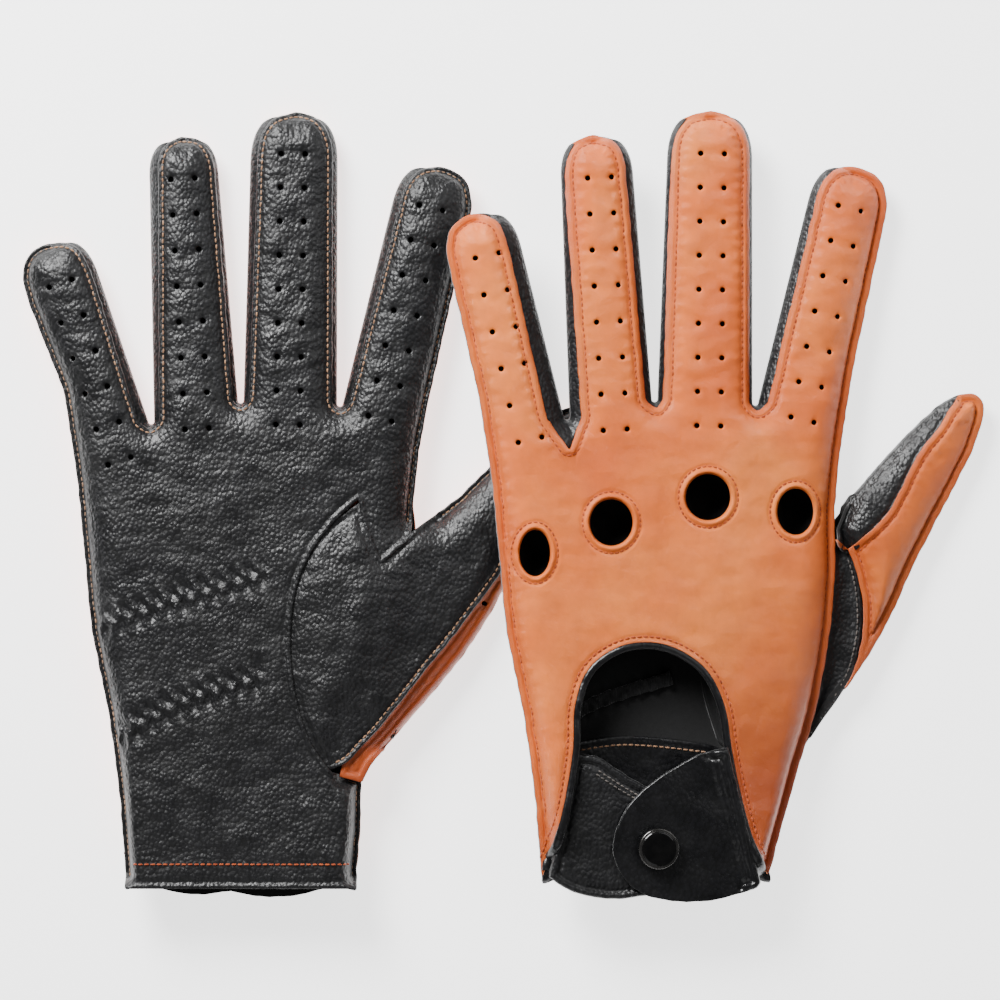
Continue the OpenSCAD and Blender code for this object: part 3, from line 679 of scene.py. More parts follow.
def stitches(line, up, size=1.0):
    """Threads along a line of points: each a short bowed bead whose ends dip into the leather."""
    line = resample(line, STITCH * size)
    if len(line) < 3:
        return []
    middle = (line[1:] + line[:-1]) / 2
    t = line[1:] - line[:-1]
    t /= np.maximum(norm(t, axis=1), 1e-9)[:, None]
    u = np.asarray(up, float) - t * (t @ np.asarray(up, float))[:, None]
    u /= norm(u, axis=1)[:, None]
    s = np.cross(t, u)
    a = circle(6)
    spokes = s[:, None] * np.cos(a)[None, :, None] + u[:, None] * np.sin(a)[None, :, None]
    rings = []
    for along, r, lift in STITCH_RINGS:
        centre = middle + t * along * 1.25 * size + u * (lift + 0.1) * size
        rings.append(centre[:, None] + spokes * r * 1.15 * size)
    p = np.stack(rings, 1).reshape(len(middle), -1, 3)
    f = grid_faces(len(STITCH_RINGS), 6, closed=True)
    last = 6 * (len(STITCH_RINGS) - 1)
    caps = [[0, k + 1, k] for k in range(1, 5)] + [[last, last + k, last + k + 1] for k in range(1, 5)]
    f = np.vstack([f, caps])
    every = (np.arange(len(middle)) * p.shape[1])[:, None, None] + f[None]
    return [(p.reshape(-1, 3), every.reshape(-1, 3))]


def runs(points, keep, closed=True):
    """Stretches of a line where keep is true."""
    if keep.all():
        return [np.vstack([points, points[:1]]) if closed else points]
    if closed:
        k = int(np.flatnonzero(~keep)[0])
        points, keep = np.roll(points, -k, 0), np.roll(keep, -k)
    out, run = [], []
    for p, ok in zip(points, keep):
        if ok:
            run.append(p)
        elif run:
            out.append(np.array(run))
            run = []
    if run:
        out.append(np.array(run))
    return [r for r in out if len(r) > 4]


def seam_stitches(sheet, inset, use):
    """Stitches on a sheet, at a distance inside the stretches of its edge where use is true."""
    e = resample(np.c_[sheet.edge, use.astype(float)], 0.6, True)
    q = e[:, :2] + inward(e) * inset
    d, _, _ = nearest(q, sheet.edge)
    keep = (d > inset - 0.08) & (e[:, 4] > 0.5) & inside(q, sheet.edge)
    out = []
    for line in runs(q, keep):
        z = sheet.height(line)
        out += stitches(np.c_[line, z], (0, 0, sheet.side))
    return out


def line_stitches(sheet, line, size=1.0):
    """Stitches on a sheet along a line of x and y."""
    return stitches(np.c_[line, sheet.height(line)], (0, 0, sheet.side), size)


class Patch(Sheet):
    """A flat sheet whose height is a rule of its own."""

    def __init__(self, g, edge, rule, side=1):
        super().__init__(g, "hand", side, edge, edge, "black")
        self.rule = rule

    def height(self, q):
        return self.rule(self, q)


# Materials

MATERIALS = {}


class Nodes:
    """A short way to build one material's node tree."""

    def __init__(self, name):
        self.material = bpy.data.materials.new(name)
        self.material.use_nodes = True
        self.tree = self.material.node_tree
        self.shader = self.tree.nodes["Principled BSDF"]
        self.place = self.add("ShaderNodeTexCoord").outputs["Object"]
        MATERIALS[name] = self.material

    def add(self, kind, inputs=None, **settings):
        node = self.tree.nodes.new(kind)
        for key, value in settings.items():
            setattr(node, key, value)
        for key, value in (inputs or {}).items():
            self.give(node.inputs[key], value)
        return node

    def give(self, socket, value):
        if isinstance(value, bpy.types.NodeSocket):
            self.tree.links.new(value, socket)
        else:
            socket.default_value = value

    def set(self, **values):
        for key, value in values.items():
            self.give(self.shader.inputs[key.replace("_", " ")], value)

    def noise(self, scale, detail=3.0, rough=0.5, place=None, distortion=0.0):
        inputs = {"Vector": place or self.place, "Scale": scale, "Detail": detail, "Roughness": rough,
                  "Distortion": distortion}
        return self.add("ShaderNodeTexNoise", inputs).outputs["Fac"]

    def cells(self, scale, feature="F1", smoothness=0.3, place=None):
        node = self.add("ShaderNodeTexVoronoi", {"Vector": place or self.place, "Scale": scale},
                        feature=feature)
        if feature == "SMOOTH_F1":
            node.inputs["Smoothness"].default_value = smoothness
        return node.outputs["Distance"]

    def ramp(self, value, *stops):
        node = self.add("ShaderNodeValToRGB", {"Fac": value})
        ramp = node.color_ramp
        while len(ramp.elements) < len(stops):
            ramp.elements.new(0.5)
        for element, (at, colour) in zip(ramp.elements, stops):
            element.position = at
            element.color = (*colour, 1) if len(colour) == 3 else colour
        return node.outputs["Color"]

    def level(self, value, low, high, to_low=0.0, to_high=1.0):
        inputs = {"Value": value, "From Min": low, "From Max": high, "To Min": to_low, "To Max": to_high}
        return self.add("ShaderNodeMapRange", inputs).outputs["Result"]

    def maths(self, kind, a, b):
        return self.add("ShaderNodeMath", {0: a, 1: b}, operation=kind).outputs[0]

    def mix(self, factor, a, b, blend="MIX"):
        node = self.add("ShaderNodeMix", data_type="RGBA", blend_type=blend)
        self.give(node.inputs["Factor"], factor)
        for socket, value in ((node.inputs[6], a), (node.inputs[7], b)):
            self.give(socket, (*value, 1) if isinstance(value, tuple) and len(value) == 3 else value)
        return node.outputs[2]

    def field(self, name):
        return self.add("ShaderNodeAttribute", attribute_name=name).outputs["Fac"]

    def bump(self, *layers):
        """Bump layers, each (height, strength, distance in millimetres)."""
        normal = None
        for height, strength, distance in layers:
            inputs = {"Height": height, "Strength": strength, "Distance": distance * MM}
            if normal is not None:
                inputs["Normal"] = normal
            normal = self.add("ShaderNodeBump", inputs).outputs["Normal"]
        self.give(self.shader.inputs["Normal"], normal)


def srgb(r, g, b):
    return tuple(((c / 255 + 0.055) / 1.055) ** 2.4 if c > 10 else c / 255 / 12.92 for c in (r, g, b))


def tan_leather():
    m = Nodes("tan_nappa")
    broad = m.noise(22, 2.0, 0.5)
    mottled = m.noise(140, 4.0, 0.6)
    colour = m.ramp(broad, (0.3, srgb(222, 94, 26)), (0.5, srgb(238, 114, 36)), (0.7, srgb(246, 132, 52)))
    colour = m.mix(m.level(mottled, 0.35, 0.7, 0, 0.35), colour, srgb(186, 82, 32))
    # Painted shade: mixes in dark brown by position, towards the thumb side and the wrist.
    colour = m.mix(m.maths("MULTIPLY", m.field("painted_shade"), 0.7), colour, srgb(120, 44, 16))
    near = m.level(m.field("seam"), 0.0, 5.0, 1.0, 0.0)
    colour = m.mix(m.maths("MULTIPLY", near, m.level(m.noise(90, 3.0), 0.3, 0.7, 0.25, 0.75)), colour,
                   srgb(176, 72, 26))
    m.set(Base_Color=colour, Roughness=m.level(m.noise(300, 3.0), 0.3, 0.7, 0.3, 0.43),
          Specular_IOR_Level=0.45, Sheen_Weight=0.03, Sheen_Roughness=0.5)
    drift = m.add("ShaderNodeTexNoise", {"Scale": 60.0}).outputs["Color"]
    warped = m.add("ShaderNodeVectorMath", {0: m.place, 1: drift}, operation="ADD").outputs[0]
    creases = m.cells(430, "DISTANCE_TO_EDGE", place=warped)
    m.bump((m.noise(120, 4.0, 0.6), 0.5, 0.5), (m.noise(520, 4.0, 0.62), 0.6, 0.22),
           (m.level(creases, 0.0, 0.08), 0.45, 0.1), (m.noise(2600, 2.0), 0.35, 0.05))


def black_leather(name="black_grain", depth=1.0, gloss=0.0):
    m = Nodes(name)
    warped = m.add("ShaderNodeMapping", {"Vector": m.place, "Scale": (1.0, 0.82, 1.0)}).outputs[0]
    pebbles = m.cells(900, "SMOOTH_F1", 0.25, warped)
    small = m.cells(1700, "SMOOTH_F1", 0.3, warped)
    broad = m.noise(45, 3.0)
    colour = m.ramp(broad, (0.3, srgb(8, 8, 10)), (0.7, srgb(16, 16, 19)))
    colour = m.mix(m.level(pebbles, 0.35, 0.75), colour, srgb(4, 4, 5))
    m.set(Base_Color=colour, Roughness=m.level(m.noise(160, 3.0), 0.3, 0.7, 0.36 - gloss, 0.5 - gloss),
          Specular_IOR_Level=0.5, Sheen_Weight=0.05)
    m.bump((m.noise(150, 4.0, 0.6), 0.2, 0.4), (m.level(pebbles, 0.1, 0.8, 1, 0), 0.7 * depth, 0.24),
           (m.level(small, 0.1, 0.8, 1, 0), 0.35 * depth, 0.1))


def suede(name, dark, light):
    m = Nodes(name)
    nap = m.noise(700, 5.0, 0.7)
    m.set(Base_Color=m.ramp(nap, (0.3, dark), (0.7, light)), Roughness=0.95, Specular_IOR_Level=0.15,
          Sheen_Weight=0.3, Sheen_Roughness=0.6)
    m.bump((nap, 0.6, 0.25), (m.noise(90, 3.0), 0.3, 0.6))


def thread(name, dark, light):
    m = Nodes(name)
    twist = m.add("ShaderNodeTexWave", {"Vector": m.place, "Scale": 900.0, "Distortion": 3.0}).outputs["Fac"]
    m.set(Base_Color=m.ramp(m.noise(350, 3.0), (0.3, dark), (0.7, light)), Roughness=0.7,
          Specular_IOR_Level=0.3, Sheen_Weight=0.2)
    m.bump((twist, 0.5, 0.1))


def elastic():
    m = Nodes("elastic_rib")
    ribs = m.add("ShaderNodeTexWave", {"Vector": m.place, "Scale": 420.0, "Distortion": 0.6}).outputs["Fac"]
    # Near black: the tape's own black made darker still as painted shade, for where it shows inside the glove
    # through the opening.
    m.set(Base_Color=m.ramp(ribs, (0.2, srgb(3, 3, 3)), (0.8, srgb(8, 8, 9))), Roughness=0.9,
          Sheen_Weight=0.2)
    m.bump((ribs, 0.4, 0.3), (m.noise(1500, 2.0), 0.3, 0.1))


def metal(name, dark, light, rough):
    m = Nodes(name)
    worn = m.noise(260, 5.0, 0.7)
    m.set(Base_Color=m.ramp(worn, (0.4, dark), (0.75, light)), Metallic=0.85, Coat_Weight=0.5,
          Coat_Roughness=0.06, Roughness=m.level(m.noise(600, 3.0), 0.3, 0.7, rough, rough + 0.12))
    m.bump((m.noise(900, 3.0), 0.12, 0.05))


def paper():
    m = Nodes("paper")
    colour = m.ramp(m.noise(3, 2.0), (0.3, (0.93, 0.93, 0.93)), (0.7, (0.96, 0.96, 0.96)))
    m.set(Base_Color=colour, Roughness=0.9, Specular_IOR_Level=0.1, Emission_Color=(1, 1, 1, 1),
          Emission_Strength=2.2)


tan_leather()
black_leather()
black_leather("black_smooth", 0.4, 0.12)
suede("tan_edge", srgb(178, 84, 40), srgb(226, 142, 92))
# Near-black flesh side: the black pieces' own dark suede, and painted shade on the inside of the tan pieces
# and the knuckle facings, where the inside of the glove lies in shadow.
suede("dark_suede_and_painted_shade", srgb(4, 4, 4), srgb(14, 14, 15))
thread("orange_thread", srgb(146, 54, 14), srgb(190, 86, 34))
thread("brown_thread", srgb(120, 86, 62), srgb(172, 132, 100))
thread("grey_thread", srgb(60, 56, 54), srgb(110, 102, 96))
elastic()
metal("snap_black", srgb(18, 18, 19), srgb(34, 33, 33), 0.12)
metal("snap_rim", srgb(58, 57, 56), srgb(84, 82, 80), 0.18)
paper()

# The tan pieces' inside takes the near-black suede as painted shade.
TAN = ("tan_nappa", "dark_suede_and_painted_shade", "tan_edge")
BLACK = ("black_grain", "dark_suede_and_painted_shade", "dark_suede_and_painted_shade")
SMOOTH = ("black_smooth", "black_smooth", "black_smooth")
SUEDE = ("dark_suede_and_painted_shade", "dark_suede_and_painted_shade", "dark_suede_and_painted_shade")

# Pieces


def settle(obj, g, body, slot, *nodes):
    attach(obj, f"{SIDES[g]}_{body}")
    if nodes:
        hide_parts(*(f"{SIDES[g]}_{n}" for n in nodes))
    return obj


def lay(sheet, name, hide, *nodes):
    """The hide of a sheet of the hand or thumb, in tan or black leather."""
    obj = sheet.thick(f"{SIDES[sheet.g]}_{name}", materials=hide)
    return settle(obj, sheet.g, "glove", "tan_leather" if hide is TAN else "black_leather", *nodes)


def finger_dots(g, side):
    """Centres of the perforations, two columns down each finger. Back and palm don't line up."""
    dots = []
    late = 0 if (side > 0) == (g == 0) else 0.5
    for (tip, r, lean), (rows, pitch) in zip(FINGERS[g], PERFORATIONS):
        for k in range(rows):
            for column in (-COLUMN, COLUMN):
                dots.append(tuple(turn((column, -FIRST_ROW - pitch * (k + late)), -lean) + tip))
    return dots


def gathers(g):
    """The ruffled lines where the elastic tapes are sewn to the palm."""
    lines = [resample(smooth(e), 1.0) for e in ELASTICS]

    def puff(q):
        z = np.zeros(len(q))
        for line in lines:
            v = q[:, None, :2] - line[None]
            k = (v ** 2).sum(2).argmin(1)
            t = np.gradient(line, axis=0)[k]
            d = q[:, :2] - line[k]
            across = t[:, 0] * d[:, 1] - t[:, 1] * d[:, 0]
            along = k + t[:, 0] * d[:, 0] + t[:, 1] * d[:, 1]
            out = np.maximum(np.maximum(-along, along - len(line) + 1), 0)
            phase = 2 * np.pi * along / 5.0
            fold = 1.7 * hill(across - 1.2 * np.sin(phase), 1.1) - 0.9 * hill(across, 3.0)
            ripple = 0.7 * np.cos(phase) * np.sign(across) * hill(np.abs(across) - 2.6, 2.0)
            z += hill(out, 2.5) * (fold + ripple)
        return z

    return puff


def thumb_ball(g):
    """The fullness of the thumb's root, on its palm side."""

    def puff(q):
        x, y = q[:, 0], q[:, 1]
        ball = 2.4 * hill(np.hypot((x - 36) / 15, (y + 38) / 26), 1.0)
        return ball + 0.5 * noise(q, (7, 16), 9) * hill(x - 30, 22)

    return puff


def thumb_edges(g):
    """Edges of the thumb's back and front, and of the part of one that wraps onto the other's side."""
    side, wrap, seam = thumb_side(g), wrap_line(g), smooth(THUMB_SEAM[1:]) + (-1.6, 0)
    x, y = THUMB_CROTCH[g]
    leaf = smooth(((56.4, -57.6), (60, -50), (62.3, -38), (61.3, -25), (57.6, -14)))
    low = np.array(BACK_EDGE[g][3])
    root = [marked([low + (-1, 0), (THUMB_SEAM[0][0] + 1, THUMB_SEAM[0][1])], cut=1), marked(seam, cut=1),
            marked([(34.8, 0.6), (36.4, -7.5), (41, -17.6)], cut=1)]
    start = marked([(x + 0.5, y + 2.2)], cut=1)
    if g == 0:
        i = int(np.hypot(*(side - wrap[-1]).T).argmin())
        down = side[i:][side[i:, 1] > -57]
        back = np.vstack([marked(wrap), marked(down), marked(leaf)])
        front = np.vstack([start, marked(side, 0)] + root)
        patch = np.vstack([marked([(x + 2, y + 1)]), marked(side[:i + 1]), marked(wrap[::-1] + (1.0, -1.2))])
        fold = slice(0, i)
    else:
        i = int(np.hypot(*(side - wrap[0]).T).argmin())
        back = np.vstack([marked([(x + 3, y + 1)]), marked(side[side[:, 1] > -57]), marked(leaf)])
        front = np.vstack([start, marked(side[:i]), marked(wrap),
                           marked([(THUMB_SEAM[0][0] - 1, THUMB_SEAM[0][1])], cut=1)] + root[1:])
        patch = np.vstack([marked(side[i:]), marked([(37.6, -81), (35, -86.5), (28, -84.5)]),
                           marked(wrap[::-1] + (-1.0, 1.2))])
        fold = slice(i, len(side))
    folded = marked(side)
    folded[fold, 2] = 2
    above = folded[folded[:, 1] > -57]
    body_back = np.vstack([marked([(x + 3, y + 1)], 2 if g == 0 else 0), above, marked(leaf)])
    body_front = np.vstack([marked([(x + 1, y)], cut=1), folded] + root)
    return back, front, patch, body_back, body_front


def hand_pieces(g):
    ovals = [(c, rx, KNUCKLE_R) for c, rx in KNUCKLES]
    outline = back_outline(g)
    back = Sheet(g, "hand", 1, outline, shifted(outline), "tan", ovals=ovals, dots=finger_dots(g, 1))
    lay(back, "back_hide", TAN, "back_panel")
    outline = palm_outline(g)
    palm = Sheet(g, "hand", -1, outline, shifted(outline), "black", dots=finger_dots(g, -1), puff=gathers(g))
    lay(palm, "palm_hide", BLACK, "palm_panel")
    return back, palm


def thumb_pieces(g):
    back_edge, front_edge, patch_edge, body_back, body_front = thumb_edges(g)
    dots = [(88.5, 1.5), (83, -10)] if g == 0 else []
    back = Sheet(g, "thumb", 1, body_back, back_edge, "tan", dots=dots)
    lay(back, "thumb_back_hide", TAN, "thumb_back")
    front = Sheet(g, "thumb", -1, body_front, front_edge, "black", tuck=0.9,
                  puff=thumb_ball(g) if g == 1 else None)
    lay(front, "thumb_front_hide", BLACK, "thumb_front")
    if g == 0:
        wrap = Sheet(g, "thumb", 1, body_back, patch_edge, "black", sink=0.9)
        lay(wrap, "thumb_front_wrap", BLACK)
    else:
        dots = [(72.7, -31.2), (67.9, -41.2), (61.5, -50.3), (53.6, -59.9), (45.1, -69.7)]
        wrap = Sheet(g, "thumb", -1, body_front, patch_edge, "tan", sink=0.9, dots=dots)
        lay(wrap, "thumb_back_wrap", TAN)
    return back, front


def fourchette(g, f):
    """The black strip between two fingers, from fingertip to crotch to fingertip."""
    lines = []
    for insets in (BACK_INSET[g], PALM_INSET[g]):
        tip = tips(g, insets)
        path = np.vstack([tip[f][21:], gap(g, f, tip[f][-1], tip[f + 1][0], insets[f]), tip[f + 1][:16]])
        n = inward(path, closed=False)
        lines.append(path[:, :2] + n * path[:, 2:3])
        lines.append(path[:, 2])
    line = path[:, :2]
    ends = np.minimum(np.arange(len(line)), np.arange(len(line))[::-1])
    tuck = 0.9 * np.clip(1 - ends / 5, 0, 1)[:, None]
    half = back_z(line) / 2
    rows = []
    for side, (edge, inset) in ((1, lines[:2]), (-1, lines[2:])):
        steps = np.linspace(1, 0, 8) ** 1.7 if side > 0 else np.linspace(0, 1, 8)[1:] ** 1.7
        away = (edge - line) / np.maximum(inset, 1e-6)[:, None]
        for k in steps:
            d = (inset + 0.9 * np.clip(inset, 0, 1)) * k
            z = half + side * np.maximum(half - LEATHER, 0) * wall(d / ROUND) * (1 - tuck[:, 0])
            p = line + away * np.maximum(d[:, None], tuck)
            rows.append(np.c_[p, z + side * 0.2 * noise(line, (5, 2.5), 6) * np.clip(d, 0, 1)])
    outward = np.c_[-n, np.zeros(len(n))]
    name = ("pinky_ring", "ring_middle", "middle_index")[f]
    obj = strip(g, f"{SIDES[g]}_fourchette_{name}_hide", rows, outward, 0.7, BLACK)
    settle(obj, g, "glove", "black_leather", f"fourchette_{name}")


def gusset(g):
    """The leaf of black leather between the back of the hand and the back of the thumb."""
    near = resample(smooth(((54, -7),) + BACK_EDGE[g][:3] + ((44.6, -73),)), 1.2)[:, :2]
    far = resample(smooth(GUSSET_FAR), 1.2)
    t, u = np.linspace(0, 1, len(near)), np.linspace(0, 1, len(far))
    far = np.stack([np.interp(t, u, far[:, k]) for k in (0, 1)], 1) - (1.8 * g, 0)
    rows = []
    low, high = levels(g, "thumb", far)
    for k in np.linspace(0, 1, 12):
        p = near + (far - near) * k
        z = (back_z(near) / 2 - 0.2) * (1 - k) + ((low + high) / 2 - 0.2) * k
        sag = np.sin(np.pi * k)
        rows.append(np.c_[p, z - 1.4 * sag + 0.5 * noise(p, (4, 9), 8) * sag])
    rows = np.array(rows)
    obj = strip(g, f"{SIDES[g]}_thumb_gusset_hide", rows, UP, 0.9, BLACK)
    settle(obj, g, "glove", "black_leather", "thumb_gusset")
    line = rows[10, 8:-12] + (-0.6, 0, 0.1)
    return stitches(line, UP, 0.9)


def binding(g, back):
    """The rolled black edge of the arch-shaped opening."""
    line = resample(smooth(((30.3, -113.4),) + ARCH + ((-37.4, -112.6),)), 1.0)
    n = inward(line, closed=False)
    path = np.c_[line - n * 0.45, back.height(line + n * 0.1) - 0.45]
    wide = np.interp(line[:, 1], [-108, -85], [1.55, 1.2])
    p, f = tube(path, UP, wide, 1.15, 14, 0.85)
    obj = make(g, f"{SIDES[g]}_aperture_binding_roll", p, f, ("black_smooth",))
    settle(obj, g, "glove", "black_leather", "aperture_binding")
    return line_stitches(back, (line + n * 2.3)[3:-3])


def knuckle_facing(g, back, k):
    (x, y), rx = KNUCKLES[k]
    a = np.linspace(0, 2 * np.pi, 49)
    rows = []
    for r in np.linspace(0.15, FACING_W, 7):
        p = np.c_[x + (rx + r) * np.cos(a), y + (KNUCKLE_R + r) * np.sin(a)]
        z = np.minimum(back.height(p) - LEATHER - 0.1, back.height(p + (p - (x, y)) * 0.1) - LEATHER - 0.1)
        rows.append(np.c_[p, z])
    obj = strip(g, f"{SIDES[g]}_knuckle_ring_{k}", rows, UP, 0.6, TAN[1:] + TAN[2:])
    names = ("pinky", "ring", "middle", "index")
    settle(obj, g, "glove", "tan_leather", f"knuckle_facing_{names[k]}")
    ring = np.c_[x + (rx + 2.4) * np.cos(a), y + (KNUCKLE_R + 2.4) * np.sin(a)]
    return line_stitches(back, ring, 0.9)


def inside_pieces(g, palm):
    S = SIDES[g]
    y = HEM_Y[g]
    top = y + 43
    across = smooth(((-36.5, top - 2), (-12, top + 1.5), (14, top - 1), (19, top - 4.5)))
    edge = np.vstack([[(-34.5, y + 1)], across, [(23.5, -87), (29, -92), (29, y + 1)]])

    def rule(sheet, q):
        return palm.height(q) + LEATHER + 0.95 + 0.25 * hill(nearest(q, sheet.edge)[0] - 0.8, 0.7)

    facing = Patch(g, marked(edge, cut=1), rule)
    settle(facing.thick(f"{S}_wrist_facing_hide", 0.8, SMOOTH), g, "glove", "black_leather", "wrist_facing")
    line = smooth(((-35, top - 4.4), (-12, top - 1.2), (14, top - 3.6)))
    rows = line_stitches(facing, line)
    for k, name in enumerate(("upper", "lower")):
        line = resample(smooth(ELASTICS[k]), 0.9)
        n = inward(line, closed=False)
        strips = []
        for v in np.linspace(-2, 2, 9):
            p = line + n * v
            lift = 0.35 * np.sin(np.arange(len(p)) * 0.9 * 2 * np.pi / 2.5) + (1.0 if k else 0.25)
            strips.append(np.c_[p, palm.height(p) + LEATHER + 0.75 + lift])
        obj = strip(g, f"{S}_elastic_{name}_tape", strips, UP, 0.6, ("elastic_rib",))
        settle(obj, g, "glove", "elastic", f"palm_elastic_{name}")
    return rows


def beyond(q, fold):
    """Distance past a tab's fold line, away from the tab."""
    a, b = np.array(fold, float)
    d = (b - a) / norm(b - a)
    v = q[:, :2] - a
    return -(d[0] * v[:, 1] - d[1] * v[:, 0])


def turned_edge(e):
    """Profile of a turned and rolled edge, by distance e from it."""
    roll = np.sqrt(np.clip(1 - ((e - 1.15) / 1.15) ** 2, 0, 1))
    groove = 0.75 * hill(e - 2.6, 0.45)
    return np.where(e < 2.3, 0.75 * roll, 0) - groove + 0.12 * np.clip((e - 2.8) / 3, 0, 1)


def tab_pieces(g):
    S = SIDES[g]
    shift = 2.6
    fold = np.array(OVER_FOLD) + (shift, 0)
    edge = np.vstack([fold[:1] + (0.3, 1.0), fold[1:] + (-0.4, -0.6), fold[1:] + (-1.6, -1.8),
                      smooth(OVER_EDGE)])

    def free(sheet, q, line):
        use = beyond(sheet.edge, line) < shift - 0.6
        return nearest(q, sheet.edge, use & np.roll(use, -1))[0]

    def over(sheet, q):
        past = np.clip(beyond(q, OVER_FOLD) / shift, 0, 1)
        press = 0.45 * hill(radius(q, *SNAP), 8.0)
        crumple = 0.35 * noise(q, (14, 10), 11) * (1 - hill(radius(q, *SNAP), 9))
        return OVER_TOP - 0.05 + turned_edge(free(sheet, q, OVER_FOLD)) + crumple - press - 1.9 * past**2

    def over_low(sheet, q):
        return OVER_BOTTOM + 0.76 - 1.9 * np.clip(beyond(q, OVER_FOLD) / shift, 0, 1) ** 2 + 0 * q[:, 0]

    top = Patch(g, marked(edge), over)
    low = Patch(g, marked(edge), over_low)
    pieces = [(top.thick(f"{S}_over_tab_hide", TAB, SMOOTH), "over_tab"),
              (low.thick(f"{S}_over_tab_underside", 0.72, SUEDE), "over_tab_lining")]
    for obj, node in pieces:
        fold_blend(obj, OVER_FOLD, (1, 0))
        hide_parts(f"{S}_{node}")
    fold = np.array(UNDER_FOLD) - (shift, 0)
    under_edge = np.vstack([fold[1:], fold[:1], smooth(UNDER_EDGE)])

    def under(sheet, q):
        edge = turned_edge(nearest(q, sheet.edge)[0])
        return UNDER_TOP - 0.15 + edge + 0.3 * noise(q, (9, 7), 12) - 0.4 * hill(radius(q, *SNAP), 8.0)

    sheet = Patch(g, marked(under_edge), under)
    low = Patch(g, marked(under_edge), lambda s, q: UNDER_TOP - TAB - 0.1 + 0 * q[:, 0])
    pieces = [(sheet.thick(f"{S}_under_tab_hide", TAB, BLACK), "under_tab"),
              (low.thick(f"{S}_under_tab_underside", 0.72, SUEDE), "under_tab_lining")]
    line = smooth(UNDER_EDGE[:5])
    n = inward(line, closed=False)
    rows = []
    for inset in (3.6, 4.9):
        rows += line_stitches(sheet, (line + n * inset)[2:-4], 0.85)
    threads = make(g, f"{S}_under_tab_thread", *joined(rows), ("grey_thread",))
    for obj, node in pieces + [(threads, None)]:
        fold_blend(obj, UNDER_FOLD, (-1, 0))
        if node:
            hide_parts(f"{S}_{node}")


def fold_blend(obj, fold, away):
    """Bakes a tab piece's placement into its mesh. The fold's direction is worked out, but the leather is not
    bent.
    """
    d = np.array(fold[1], float) - fold[0]
    d /= norm(d)
    n = np.array([d[1], -d[0]])
    if n @ np.array(away, float) < 0:
        n = -n
    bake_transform(obj)


# Radius and height of the snap cap's outline, from its middle round to its shank
CAP_PROFILE = ((0, 2.28), (2.5, 2.3), (4.7, 2.36), (5.15, 2.3), (5.35, 2.08), (5.5, 2.02), (5.7, 2.1),
               (6.0, 2.06), (6.25, 1.8), (6.38, 1.35), (6.4, 0.95), (6.3, 0.5), (6.0, 0.15), (5.4, 0.06),
               (1.6, 0.05), (1.6, -1.95), (0, -1.95))


def snap(g):
    S = SIDES[g]
    a = circle(64)
    p = np.vstack([np.c_[SNAP[0] + r * np.cos(a), SNAP[1] + r * np.sin(a), np.full(64, OVER_TOP + z)]
                   for r, z in ((max(r, 0.001), z) for r, z in CAP_PROFILE)])
    f = grid_faces(len(CAP_PROFILE), 64, closed=True)
    kinds = np.zeros(len(f), int)
    ring = np.minimum(f.min(1) // 64, len(CAP_PROFILE) - 2)
    kinds[(ring >= 4) & (ring <= 7)] = 1
    obj = make(g, f"{S}_snap_cap_domed", p, f[:, ::-1], ("snap_black", "snap_rim"), kinds)
    settle(obj, g, "over_tab", "snap_metal", "snap_cap")
    for node in ("snap_socket", "snap_stud", "snap_post"):
        part = frame["nodes"][f"{S}_{node}"]
        part.data.materials.clear()
        part.data.materials.append(MATERIALS["snap_rim" if node != "snap_post" else "snap_black"])


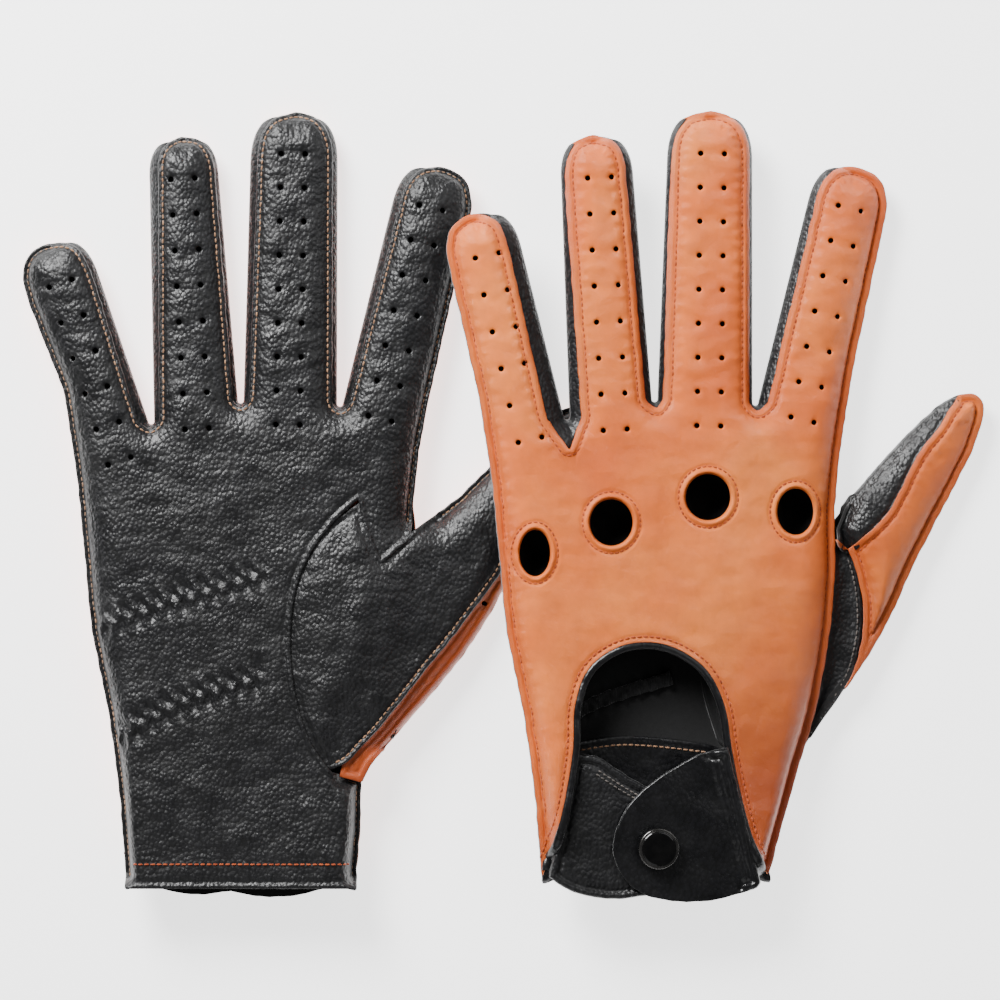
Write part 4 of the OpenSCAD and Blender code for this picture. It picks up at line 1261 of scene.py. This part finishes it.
def glove(g):
    S = SIDES[g]
    back, palm = hand_pieces(g)
    thumb_back, thumb_front = thumb_pieces(g)
    for f in range(3):
        fourchette(g, f)
    grey = gusset(g)
    tab_pieces(g)
    snap(g)
    orange = seam_stitches(back, FLANGE["tan"], back.sewn & (back.edge[:, 1] > -109)) + binding(g, back)
    for k in range(4):
        orange += knuckle_facing(g, back, k)
    orange += seam_stitches(thumb_back, FLANGE["tan"], thumb_back.sewn)
    brown = seam_stitches(palm, FLANGE["black"], palm.sewn)
    brown += seam_stitches(thumb_front, FLANGE["black"], thumb_front.sewn)
    brown += inside_pieces(g, palm)
    y = HEM_Y[g] + 7.5
    hem = np.c_[np.linspace(HEM_X[1] + 2.5, HEM_X[0] - 2.5, 60), np.full(60, y)]
    orange += line_stitches(palm, hem)
    for name, rows, slot in (("orange_thread", orange, "tan_leather"),
                             ("brown_thread", brown, "black_leather"),
                             ("grey_thread", grey, "black_leather")):
        settle(make(g, f"{S}_{name}", *joined(rows), (name,)), g, "glove", slot)


glove(0)
glove(1)

# Studio

VIEW = 0.3057
LENS, SENSOR = 150.0, 36.0


def area_light(name, at, size, power, colour=(1, 1, 1)):
    light = bpy.data.lights.new(name, "AREA")
    light.shape, light.size, light.energy, light.color = "SQUARE", size, power, colour
    obj = bpy.data.objects.new(name, light)
    obj.location = at
    obj.rotation_euler = (-Vector(at)).to_track_quat("-Z", "Y").to_euler()
    bpy.context.scene.collection.objects.link(obj)


def studio():
    lo, hi = CAD_BOX
    mesh = bpy.data.meshes.new("table")
    mesh.from_pydata([(-4, -4, 0), (4, -4, 0), (4, 4, 0), (-4, 4, 0)], [], [(0, 1, 2, 3)])
    mesh.materials.append(MATERIALS["paper"])
    table = bpy.data.objects.new("table", mesh)
    table.location.z = lo.z - 0.0002
    bpy.context.scene.collection.objects.link(table)
    area_light("key", (-0.42, 0.62, 0.62), 0.45, 23)
    area_light("fill", (0.7, 0.5, 0.9), 0.8, 3)
    area_light("front", (-0.2, -0.9, 0.9), 0.9, 1.8)
    world = bpy.data.worlds.new("studio")
    world.use_nodes = True
    world.node_tree.nodes["Background"].inputs["Color"].default_value = (1, 1, 1, 1)
    world.node_tree.nodes["Background"].inputs["Strength"].default_value = 0.13
    bpy.context.scene.world = world
    camera = bpy.data.cameras.new("camera")
    camera.lens, camera.sensor_width, camera.clip_end = LENS, SENSOR, 50
    obj = bpy.data.objects.new("camera", camera)
    middle = (lo + hi) / 2
    obj.location = (middle.x - 0.0011, middle.y + 0.0015, hi.z + VIEW * LENS / SENSOR)
    bpy.context.scene.collection.objects.link(obj)
    bpy.context.scene.camera = obj


studio()
